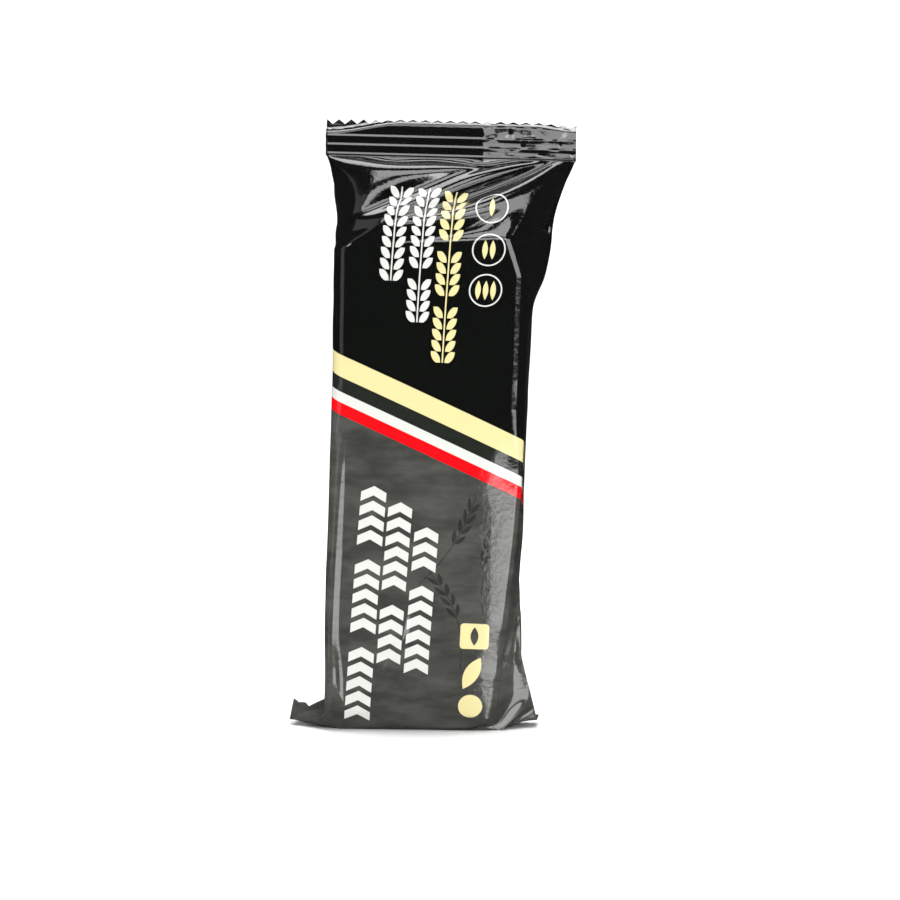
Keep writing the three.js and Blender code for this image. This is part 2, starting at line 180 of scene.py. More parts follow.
@dataclass(frozen=True)
class Bar:
    """The firm bar inside: a rounded box that leans, and that only shows as the film's shape.

    Heights are from the bar's middle. A bevel is a height where it starts and a slope.

    Attributes:
        half_width: Half the width at the bar's middle.
        half_thickness: Half the thickness.
        half_length: Half the length.
        radius: The radius of its edges.
        spread: How much the half width grows with the height.
        top_slope: How much the upper end rises to the right.
        right_shoulder: The bevel of the upper right edge.
        left_shoulder: The bevel of the upper left edge.
        right_hip: The bevel of the lower right edge, on the front alone.
        right_waist: The bevel of the lower right edge, all round.
        front_radius: The radius of the front's lower right edge.
        front_side: Where that radius starts and where it is reached, from the middle.
        front_high: Where it ends, upwards.
        hip_crown: How far the front falls back at its lower right edge.
        crown_high: Where that starts, upwards.
        crown_fade: How far below it is reached.
        crown_from: Where it starts, from the middle.
        centre: The bar's middle.
        lean: How far it leans to the right, in radians.
    """

    half_width: float = 22.2
    half_thickness: float = 7.9
    half_length: float = 57.2
    radius: float = 3.4
    spread: float = 0.011
    top_slope: float = 0.07
    right_shoulder: Span = (47.0, 0.36)
    left_shoulder: Span = (52.0, 0.5)
    right_hip: Span = (3.0, 0.065)
    right_waist: Span = (-15.0, 0.03)
    front_radius: float = 1.2
    front_side: Span = (9.0, 17.0)
    front_high: Span = (0.0, 18.0)
    hip_crown: float = 1.8
    crown_high: float = 16.0
    crown_fade: float = 14.0
    crown_from: float = 2.0
    centre: tuple[float, float, float] = (-0.55, 0.0, 58.9)
    lean: float = math.radians(1.5)

    def clear(self, points: Array) -> None:
        """Moves points that are inside the bar to its surface.

        Args:
            points: Three rows of coordinates, which are changed in place.
        """
        cos, sin = math.cos(self.lean), math.sin(self.lean)
        wide, high = points[0] - self.centre[0], points[2] - self.centre[2]
        local = [wide * cos - high * sin, points[1] - self.centre[1], wide * sin + high * cos]
        side, height = local[0], local[2]
        right = np.maximum(0, height - self.right_shoulder[0]) * self.right_shoulder[1]
        right = right + np.maximum(0, self.right_waist[0] - height) * self.right_waist[1]
        front = np.clip(-local[1] / self.half_thickness, 0, 1)
        right = right + np.maximum(0, self.right_hip[0] - height) * self.right_hip[1] * front
        low = np.clip((self.crown_high - height) / self.crown_fade, 0, 1) * (local[1] < 0)
        sharp = ease(side, *self.front_side) * (local[1] < 0)
        sharp = sharp * (1 - ease(height, *self.front_high))
        radius = blend(self.radius, self.front_radius, sharp)
        crown = np.clip((side - self.crown_from) / (self.half_width - self.crown_from), 0, 1)
        left = np.maximum(0, height - self.left_shoulder[0]) * self.left_shoulder[1]
        half_width = self.half_width + self.spread * height - np.where(side > 0, right, left)
        half_length = self.half_length + np.where(height > 0, self.top_slope * side, 0)
        halves = [half_width, self.half_thickness - self.hip_crown * low * crown * crown, half_length]
        beyond = []
        for value, half in zip(local, halves):
            inner = half - radius
            beyond.append(value - np.clip(value, -inner, inner))
        distance = size(beyond)
        inside = (distance < radius) & (distance > 0)
        grow = np.where(inside, radius / np.maximum(distance, LEAST_LENGTH) - 1, 0)
        x, y, z = (value + out * grow for value, out in zip(local, beyond))
        points[0] = np.where(inside, x * cos + z * sin + self.centre[0], points[0])
        points[1] = np.where(inside, y + self.centre[1], points[1])
        points[2] = np.where(inside, z * cos - x * sin + self.centre[2], points[2])


@dataclass(frozen=True)
class TopSeal:
    """The top seal: its root, the turns of its two ends, its crimps, and the bend near its free edge.

    Places across are from the seal's middle, and bands of them are shares of its width.

    Attributes:
        root_x: The root's middle.
        root_z: The root's height there.
        lean: How far the root falls to the right, in radians.
        left_from: Where the left end starts to turn back.
        left_turn: How steeply it does.
        right_from: Where the right end starts to turn back, from the pack's middle.
        right_turn: How steeply it does.
        fold_middle: From the root to the bend of the free edge, in the middle.
        fold_left: The same at the left end.
        fold_right: The same at the right end.
        left_band: Where the bend sinks from the middle's distance to the left end's.
        right_band: The same at the right.
        raised_band: Where the free edge stops bending up again.
        fold_width: How wide the bend is.
        tilt: How far the seal leans back, in degrees.
        over: How far the free edge bends over, in degrees.
        back_up: How far it bends up again at the left, in degrees.
        up_after: From the first bend to the second.
        walk_steps: In how many steps the seal's curve is found.
        crimp_pitch: From one crimp ridge to the next.
        crimp_height: How far a ridge stands out.
        crimp_start: The first ridge's place, as a share of the pitch.
        crimp_in: From the root to where the ridges have their height.
        crimp_out: Where they end.
        ridge_places: The corners of a ridge's section, as shares of the pitch.
        ridge_heights: Their heights, as shares of the ridge's.
        dents: How many soft dents the right end has.
        dents_from: Where they start.
        dent_depth: The deepest.
        dent_wide: Their least and greatest half width.
        dent_high: Their least and greatest half height.
        dent_fade: From the root to where they have their depth.
        dent_seed: The seed of their random places.
    """

    root_x: float = 4.5
    root_z: float = 132.3
    lean: float = math.radians(1.5)
    left_from: float = -13.0
    left_turn: float = 0.1
    right_from: float = 12.0
    right_turn: float = 0.17
    fold_middle: float = 7.6
    fold_left: float = 5.2
    fold_right: float = 6.8
    left_band: Span = (-0.5, -0.18)
    right_band: Span = (0.3, 0.5)
    raised_band: Span = (-0.36, -0.2)
    fold_width: float = 0.8
    tilt: float = 2.0
    over: float = 62.0
    back_up: float = 34.0
    up_after: float = 2.1
    walk_steps: int = 48
    crimp_pitch: float = 2.1
    crimp_height: float = 0.19
    crimp_start: float = 0.65
    crimp_in: float = 0.42
    crimp_out: Span = (5.0, 6.0)
    ridge_places: tuple[float, ...] = (0, 0.42, 0.8, 1)
    ridge_heights: tuple[float, ...] = (0, 0, 1, 0)
    dents: int = 60
    dents_from: float = 9.0
    dent_depth: float = 0.15
    dent_wide: Span = (0.8, 2.6)
    dent_high: Span = (0.7, 1.7)
    dent_fade: float = 1.5
    dent_seed: int = 3
    film: Film = Film()

    def root(self, across: Array) -> Array:
        """Points of the seal's root line.

        Args:
            across: Shares of the sheet's width from its middle, -0.5 to 0.5.

        Returns:
            Three rows of coordinates.
        """
        place = across * self.film.seal_width
        right = np.maximum(0, place + self.root_x - self.right_from) * self.right_turn
        left = np.maximum(0, self.left_from - place) * self.left_turn
        return np.stack([
            self.root_x + place * math.cos(self.lean),
            right + left,
            self.root_z - place * math.sin(self.lean),
        ])

    def leaning(self, across: Array, distance: Array) -> Array:
        """How far the seal leans back: it bends over, and at the left up again.

        Args:
            across: Shares of the sheet's width from its middle.
            distance: Distances above the root.

        Returns:
            The angle from upright, in radians.
        """
        at_left = 1 - ease(across, *self.left_band)
        raised = 1 - ease(across, *self.raised_band)
        at_right = ease(across, *self.right_band)
        fold = blend(blend(self.fold_middle, self.fold_left, at_left), self.fold_right, at_right)
        half = self.fold_width / 2
        over = ease(distance - fold, -half, half)
        up = ease(distance - fold - self.up_after, -half, half)
        return np.radians(self.tilt + self.over * over - self.back_up * up * raised)

    def dented(self, across: Array, distance: Array) -> Array:
        """How far seeded soft dents move the seal's right end to the back.

        Args:
            across: Shares of the sheet's width from its middle, one a column.
            distance: Distances above the root, rows by columns.

        Returns:
            Rows by columns, in millimetres.
        """
        draw = np.random.default_rng(self.dent_seed)
        made = np.zeros(distance.shape)
        for _ in range(self.dents):
            middle = draw.uniform(self.dents_from, self.film.seal_width / 2)
            height = draw.uniform(0, self.film.top_seal)
            wide, high = draw.uniform(*self.dent_wide), draw.uniform(*self.dent_high)
            depth = draw.uniform(-1, 1) * self.dent_depth
            place = across[None, :] * self.film.seal_width
            made += depth * np.exp(-(((place - middle) / wide) ** 2) - ((distance - height) / high) ** 2)
        return made * ease(distance, 0, self.dent_fade)

    def points(self, across: Array, sheet: Array, distance: Array) -> Array:
        """Points of the welded seal, found by walking up from its root.

        Args:
            across: Shares of the sheet's width from its middle, one a column.
            sheet: -1 on the front sheet, 1 on the back sheet and 0 at the side folds, one a column.
            distance: Distances above the root, rows by columns.

        Returns:
            Three layers of rows by columns.
        """
        steps = self.walk_steps
        root = self.root(across)
        back, up = np.zeros_like(distance), np.zeros_like(distance)
        for k in range(steps):
            lean = self.leaning(across[None, :], distance * (k + 0.5) / steps)
            back += np.sin(lean) * distance / steps
            up += np.cos(lean) * distance / steps
        lean = self.leaning(across[None, :], distance)
        fade = ease(distance, 0, self.crimp_in) * (1 - ease(distance, *self.crimp_out))
        turn = (distance / self.crimp_pitch + self.crimp_start) % 1
        ridge = np.interp(turn, self.ridge_places, self.ridge_heights) * self.crimp_height * fade
        offset = sheet[None, :] * self.film.double / 2 - ridge + self.dented(across, distance)
        return np.stack([
            np.broadcast_to(root[0], distance.shape),
            root[1] + back + np.cos(lean) * offset,
            root[2] + up - np.sin(lean) * offset,
        ])


@dataclass(frozen=True)
class BottomSeal:
    """The bottom seal, which lies on the table and points to the back, with its lifted ears.

    Attributes:
        root_x: The root's middle.
        root_y: How far behind the bar's middle the root is.
        left_from: Where the left ear starts, to the left of the pack's middle.
        left_curl: The angle at which its tip curls up, in radians.
        right_from: Where the right ear starts to rise.
        left_rise: How high the left ear's end is.
        right_rise: How high the right ear's end is.
    """

    root_x: float = -4.1
    root_y: float = -0.4
    left_from: float = 23.5
    left_curl: float = 0.42
    right_from: float = 14.0
    left_rise: float = 1.3
    right_rise: float = 1.7
    film: Film = Film()

    def height(self, x: Array, distance: Array) -> Array:
        """The height of the seal's lower face above the table, at a place under the pack."""
        half = self.film.seal_width / 2
        rise = self.right_rise * ease(x, self.right_from, self.root_x + half)
        at_left = ease(-x, self.left_from, half - self.root_x)
        rise = rise + self.left_rise * at_left
        return rise + np.maximum(0, distance) * np.sin(self.left_curl * at_left)

    def points(self, across: Array, sheet: Array, distance: Array) -> Array:
        """Points of the welded seal.

        Args:
            across: Shares of the sheet's width from its middle, one a column.
            sheet: -1 on the front sheet, 1 on the back sheet and 0 at the side folds, one a column.
            distance: Distances behind the root, rows by columns.

        Returns:
            Three layers of rows by columns.
        """
        x = self.root_x + across * self.film.seal_width + np.zeros_like(distance)
        layer = self.film.double * (1 + sheet) / 2
        return np.stack([x, self.root_y + distance, layer + self.height(x, distance)])


@dataclass(frozen=True)
class Foot:
    """The film in front of the bottom seal, which the weight presses flat on the table.

    Attributes:
        length: How far it reaches from the seal's root.
        left: Its left end.
        right: Its right end.
    """

    length: float = 5.4
    left: float = -21.0
    right: float = 17.0


@dataclass(frozen=True)
class Crease:
    """The right side fold's lowest stretch, which is drawn straight out to the ear.

    Attributes:
        top: Its upper end.
        along: How long it is.
    """

    top: tuple[float, float, float] = (21.3, -0.3, 16.5)
    along: float = 24.0


@dataclass(frozen=True)
class Pleats:
    """The shares of the film's length that small pleats leave beside the side folds.

    Attributes:
        shoulder_left: The share above the bar, at the left.
        shoulder_right: The same at the right.
        base_left: The share at the base, at the left.
        base_right: The same at the right.
        reach: How far from a side fold the shoulder's pleats reach.
        base_reach: How far the base's do.
        height: How far along the film the base's do.
    """

    shoulder_left: float = 0.81
    shoulder_right: float = 0.81
    base_left: float = 0.93
    base_right: float = 0.65
    reach: float = 20.3
    base_reach: float = 11.0
    height: float = 22.0


@dataclass(frozen=True)
class Push:
    """How far the film is pushed outward in a round on the coarse grid: inward where it is negative.

    Attributes:
        shoulder: Above the bar, where the pack holds gas.
        panel: Round the bar.
        hip: Over the bar's bevelled lower right edge.
        hip_high: The hip's upper end, along the film.
        hip_side: Where the hip starts and where it has its full push, from the middle of the front.
        hip_beyond: How far it reaches past the side fold.
        gusset: On the right side fold, which is drawn out beside the bar's shoulder.
        gusset_reach: How far from the side fold that goes.
        gusset_low: How far it reaches down from the end of the panel.
    """

    shoulder: float = 0.002
    panel: float = -0.002
    hip: float = -0.022
    hip_high: float = 70.0
    hip_side: Span = (0.0, 16.0)
    hip_beyond: float = 8.0
    gusset: float = 0.01
    gusset_reach: float = 3.0
    gusset_low: float = 12.0

    def amounts(self, wide: Array, along: Array, film: Film) -> Array:
        """The push at places of the film.

        Args:
            wide: Distances round the tube from the middle of the front.
            along: Distances along the film.
            film: The film's sizes.

        Returns:
            Rows by columns, in millimetres.
        """
        made = np.where(along > film.panel_high, self.shoulder, self.panel)
        on_hip = (wide < film.seal_width / 2 + self.hip_beyond) & (along < self.hip_high)
        made = blend(made, self.hip, on_hip * ease(wide, *self.hip_side))
        from_fold = np.abs(wide - film.seal_width / 2)
        on_gusset = (from_fold < self.gusset_reach) & (along > film.panel_high - self.gusset_low)
        made = np.where(on_gusset & (along < film.panel_high), self.gusset, made)
        return np.where(along < film.panel_low, 0, made)


@dataclass(frozen=True)
class Link:
    """Links between points of the film, of which no two share a point, so that all pull at one time.

    Attributes:
        first: Numbers of the links' first points.
        second: Numbers of their second points.
        rest: Their lengths at rest.
        first_share: The share of the way that each first point goes.
        second_share: The share that each second point goes.
    """

    first: Array
    second: Array
    rest: Array
    first_share: Array
    second_share: Array

    def pull(self, points: Array) -> None:
        """Pulls the linked points towards their distances at rest, in place."""
        one, two = points[:, self.first], points[:, self.second]
        apart = two - one
        length = size(apart)
        step = (length - self.rest) / np.maximum(length, LEAST_LENGTH)
        points[:, self.first] = one + apart * (step * self.first_share)
        points[:, self.second] = two - apart * (step * self.second_share)


@dataclass
class Tube:
    """The tube of film on one grid, which settles round the bar.

    Attributes:
        fineness: How many times finer than the coarsest grid it is.
        coarse_columns: Columns of cells across one sheet of the coarsest grid.
        thickness: The body's thickness before it settles.
        corner: The radius of its corners then.
        contact: How far the sheets are kept apart, and the underside above the folded seal.
        parting: How far from the top seal's root the sheets have that distance.
        shear: How strongly a cell's diagonals pull, as a share of its sides' pull.
        bend: The same of links over two cells, which keep the film from folding sharply.
        points: Three layers of rows by columns, in millimetres.
    """

    fineness: int
    film: Film = Film()
    bar: Bar = Bar()
    top: TopSeal = TopSeal()
    bottom: BottomSeal = BottomSeal()
    foot: Foot = Foot()
    crease: Crease = Crease()
    pleats: Pleats = Pleats()
    coarse_columns: int = 40
    thickness: float = 16.0
    corner: float = 4.3
    contact: float = 0.35
    parting: float = 8.0
    shear: float = 0.7
    bend: float = 0.22
    push: Push = Push()
    points: Array | None = field(default=None, repr=False)

    def __post_init__(self) -> None:
        """Works out the grid: its columns round the tube and its rows along the film."""
        self.columns = self.coarse_columns * self.fineness
        self.around = 2 * self.columns
        self.cell = self.film.seal_width / self.columns
        column = np.arange(self.around)
        folded = np.where(column <= self.columns, column, self.around - column)
        self.across = folded / self.columns - 0.5
        self.sheet = np.where(column > self.columns, 1.0, -1.0) * (column % self.columns != 0)
        rows, start = [], 0.0
        for stretch in self.film.stretches:
            cells = stretch.cells * self.fineness
            rows.append(start + np.arange(cells) * stretch.length / cells)
            start += stretch.length
        pitch = self.film.shoulder.length / self.film.shoulder.cells / self.fineness
        self.rows = np.concatenate([*rows, [start, start + pitch]])
        self.top_row = len(self.rows) - 2
        self.held = self.find_held()
        self.free = ~self.held

    def find_held(self) -> Array:
        """Which points are held: the two seals' roots, the foot and the crease."""
        held = np.zeros((len(self.rows), self.around), bool)
        held[0] = True
        held[self.top_row:] = True
        held |= self.on_foot() | self.on_crease()
        return held

    def on_foot(self) -> Array:
        """Which points the weight presses flat on the table."""
        x = self.bottom.root_x + self.across * self.film.seal_width
        column = (self.sheet < 0) & (x > self.foot.left) & (x < self.foot.right)
        row = (self.rows > 0) & (self.rows <= self.foot.length)
        return row[:, None] & column[None, :]

    def on_crease(self) -> Array:
        """Which points lie on the right ear's straight crease."""
        row = (self.rows > 0) & (self.rows <= self.crease.along)
        column = np.arange(self.around) == self.columns
        return row[:, None] & column[None, :]

    def section(self) -> Array:
        """The body's section: a rounded rectangle, from the middle of its left side, two rows."""
        distance = np.arange(self.around) * self.cell
        width = self.film.seal_width
        depth = self.thickness / 2
        side = depth - self.corner
        arc = math.pi / 2 * self.corner
        half_width = (width - 2 * side - 2 * arc) / 2 + self.corner
        on_back = distance > width
        on_right = (distance % width > width / 2) != on_back
        from_fold = np.minimum(distance % width, width - distance % width)
        turn = np.clip((from_fold - side) / self.corner, 0, math.pi / 2)
        inward = self.corner * (1 - np.cos(turn)) + np.maximum(0, from_fold - side - arc)
        outward = np.minimum(from_fold, side) + self.corner * np.sin(turn)
        return np.stack([
            np.where(on_right, 1, -1) * (half_width - inward),
            np.where(on_back, 1, -1) * outward,
        ])

    def body(self, along: Array) -> Array:
        """Points of the body's tube.

        Args:
            along: Heights along the leaning bar from its middle.

        Returns:
            Three layers of heights by columns.
        """
        x, y = self.section()
        cos, sin = math.cos(self.bar.lean), math.sin(self.bar.lean)
        along = along[:, None]
        return np.stack([
            x * cos + along * sin + self.bar.centre[0],
            y + np.zeros_like(along) + self.bar.centre[1],
            along * cos - x * sin + self.bar.centre[2],
        ])

    def start(self) -> Array:
        """Where the film's points start, before they settle: three layers of rows by columns."""
        low, high = self.film.panel_low, self.film.panel_high
        half = (high - low) / 2
        made = self.body(np.clip(self.rows, low, high) - low - half)
        level = np.zeros((1, self.around))
        under = self.rows < low
        share = (self.rows[under] / low)[None, :, None]
        root = self.bottom.points(self.across, self.sheet, level)
        made[:, under] = blend(root, made[:, under], share)
        over = self.rows > high
        share = ((self.rows[over] - high) / self.film.shoulder.length)[None, :, None]
        root = self.top.points(self.across, self.sheet, level)
        made[:, over] = blend(made[:, over], root, np.minimum(share, 1))
        return made

    def place_held(self, made: Array) -> None:
        """Puts the held points where they belong, in place."""
        level = np.zeros((1, self.around))
        made[:, :1] = self.bottom.points(self.across, self.sheet, level)
        distance = (self.rows[self.top_row:] - self.rows[self.top_row])[:, None] + level
        made[:, self.top_row:] = self.top.points(self.across, self.sheet, distance)
        below = -self.rows[:, None] + level
        foot = self.bottom.points(self.across, self.sheet, below)
        foot[2] = 0
        on_foot = self.on_foot()
        made[:, on_foot] = foot[:, on_foot]
        end = self.bottom.points(self.across, self.sheet, level)[:, :, self.columns]
        share = (self.rows / self.crease.along)[None, :]
        line = blend(end, np.array(self.crease.top)[:, None], share)
        on_crease = self.on_crease()[:, self.columns]
        made[:, on_crease, self.columns] = line[:, on_crease]

    def pleated(self, along: Array, distance: Array) -> Array:
        """The share of the film's length that its pleats leave.

        Args:
            along: Distances along the film.
            distance: Distances round the tube from the left side fold.

        Returns:
            The shares, in an array of that shape.
        """
        width = self.film.seal_width
        round_tube = 2 * width
        distance = distance % round_tube
        at_top = along > self.film.panel_high
        at_base = along < self.pleats.height
        reach = np.where(at_base, self.pleats.base_reach, self.pleats.reach)
        from_left = 1 - ease(np.minimum(distance, round_tube - distance) / reach, 0, 1)
        from_right = 1 - ease(np.abs(width - distance) / reach, 0, 1)
        left = blend(1, self.pleats.base_left, at_base * from_left)
        left = left * blend(1, self.pleats.shoulder_left, at_top * from_left)
        right = blend(1, self.pleats.base_right, at_base * from_right)
        return left * right * blend(1, self.pleats.shoulder_right, at_top * from_right)

    def links(self) -> list[Link]:
        """The links that keep the film its size: along both threads, both diagonals and over two cells."""
        made = []
        free = self.free.ravel()
        for down, side, pull in (
            (0, 1, 1),
            (1, 0, 1),
            (1, 1, self.shear),
            (1, -1, self.shear),
            (0, 2, self.bend),
            (2, 0, self.bend),
        ):
            places = np.meshgrid(np.arange(len(self.rows) - down), np.arange(self.around), indexing="ij")
            row, column = (grid.ravel() for grid in places)
            turn = (row if down else column) // max(down, side) % 2
            column = column + max(0, -side)
            last_row, last_column = row + down, column + side
            middle = (self.rows[row] + self.rows[last_row]) / 2
            shorter = self.pleated(middle, (column + last_column) / 2 * self.cell)
            rest = np.hypot((self.rows[last_row] - self.rows[row]) * shorter, side * self.cell)
            first = row * self.around + column % self.around
            second = last_row * self.around + last_column % self.around
            count = free[first].astype(float) + free[second]
            for half in (0, 1):
                chosen = (turn == half) & (count > 0)
                one, two = first[chosen], second[chosen]
                shares = (pull * free[points] / count[chosen] for points in (one, two))
                made.append(Link(one, two, *(part.astype(np.float32) for part in (rest[chosen], *shares))))
        return made

    def puff(self, points: Array, amount: Array) -> None:
        """Pushes the film outward, or inward where the amount is negative, in place.

        Args:
            points: Three layers of rows by columns.
            amount: How far, in millimetres, rows by columns.
        """
        along = np.zeros_like(points)
        along[:, 1:-1] = points[:, 2:] - points[:, :-2]
        side = np.roll(points, -1, axis=2) - np.roll(points, 1, axis=2)
        normal = np.stack([
            side[1] * along[2] - side[2] * along[1],
            side[2] * along[0] - side[0] * along[2],
            side[0] * along[1] - side[1] * along[0],
        ])
        points += normal * (amount / np.maximum(size(normal), LEAST_AREA))

    def clear(self, points: Array) -> None:
        """Keeps the film out of the bar, above the table and its folded seal, and its sheets apart."""
        low = int(np.searchsorted(self.rows, self.film.panel_low, side="right"))
        high = int(np.searchsorted(self.rows, self.film.panel_high, side="right"))
        fixed = points[:, self.held]
        flat = points.reshape(3, -1)
        self.bar.clear(flat)
        part = points[:, :low]
        on_seal = (self.sheet >= 0)[None, :] | (part[1] > self.bottom.root_y)
        seal = self.bottom.height(part[0], part[1] - self.bottom.root_y)
        above = (self.film.double + self.contact) * (self.sheet > 0)[None, :]
        np.maximum(part[2], np.where(on_seal, seal + above, 0), out=part[2])
        part = points[:, high:]
        middle = self.top.root(self.across)[1]
        weld = self.film.double / 2
        share = np.clip((self.film.length - self.rows[high:, None]) / self.parting, 0, 1)
        apart = weld + (self.contact - weld) * share
        gap = self.sheet * (part[1] - middle)
        part[1] = np.where((gap < apart) & (self.sheet != 0), middle + self.sheet * apart, part[1])
        points[:, self.held] = fixed

    def settle(self, rounds: int, ironing: int) -> None:
        """Lets the film settle, and then irons out what is finer than the grid can carry.

        Args:
            rounds: How many times every link pulls.
            ironing: How many rounds of ironing follow.
        """
        points = np.ascontiguousarray(self.points, np.float32)
        self.place_held(points)
        flat = points.reshape(3, -1)
        wide = np.arange(self.around) * self.cell - self.film.seal_width / 2
        amount = self.push.amounts(wide[None, :], self.rows[:, None], self.film)
        amount = (amount * self.free / self.fineness**2).astype(np.float32)
        links = self.links()
        for turn in range(rounds):
            self.puff(points, amount)
            for link in links if turn % 2 == 0 else reversed(links):
                link.pull(flat)
            self.clear(points)
        for _ in range(ironing):
            mean = (np.roll(points, 1, axis=2) + np.roll(points, -1, axis=2)) / 2
            share = (self.rows[1:-1] - self.rows[:-2]) / (self.rows[2:] - self.rows[:-2])
            upright = blend(points[:, :-2], points[:, 2:], share[None, :, None])
            smoother = points.copy()
            smoother[:, 1:-1] = blend(points[:, 1:-1], (mean[:, 1:-1] + upright) / 2, 0.5)
            points[:] = np.where(self.free, smoother, points)
            self.clear(points)
        self.points = points

    def finer(self) -> Tube:
        """The same film on a grid of cells half as long and half as wide."""
        before, after, later = (np.roll(self.points, shift, axis=2) for shift in (1, -1, -2))
        between = midway(before, self.points, after, later)
        wide = np.stack([self.points, between], axis=3).reshape(3, len(self.rows), -1)
        body = wide[:, : self.top_row + 1]
        before, after = 2 * body[:, :1] - body[:, 1:2], 2 * body[:, -1:] - body[:, -2:-1]
        rows = np.concatenate([before, body, after], axis=1)
        between = midway(rows[:, :-3], rows[:, 1:-2], rows[:, 2:-1], rows[:, 3:])
        made = Tube(fineness=2 * self.fineness)
        points = np.zeros((3, len(made.rows), made.around), np.float32)
        points[:, : made.top_row + 1 : 2] = body
        points[:, 1 : made.top_row : 2] = between
        points[:, made.top_row + 1] = body[:, -1]
        made.points = points
        return made


@dataclass(frozen=True)
class Oats:
    """The lumps of the oat bar that show through the film: soft bumps at seeded random places.

    Attributes:
        count: How many there are.
        height: The height of the largest.
        hollow: The deepest hollow, as a share of that height.
        sizes: The least and greatest half width.
        seed: The seed of their random places.
    """

    count: int = 260
    height: float = 0.16
    hollow: float = 0.6
    sizes: Span = (1.8, 5.5)
    seed: int = 7

    def relief(self, wide: Array, along: Array, film: Film) -> Array:
        """The film's height over the bar's mean face.

        Args:
            wide: Distances round the tube from the middle of the front.
            along: Distances along the film.
            film: The film's sizes.

        Returns:
            Heights in millimetres.
        """
        draw = np.random.default_rng(self.seed)
        made = np.zeros(np.broadcast_shapes(wide.shape, along.shape), np.float32)
        for _ in range(self.count):
            middle = draw.uniform(-film.seal_width, film.seal_width)
            place = draw.uniform(film.panel_low, film.panel_high)
            reach = draw.uniform(*self.sizes)
            height = draw.uniform(-self.hollow, 1) * self.height * reach / self.sizes[1]
            made += height * np.exp(-((wide - middle) ** 2 + (along - place) ** 2) / reach**2)
        return made


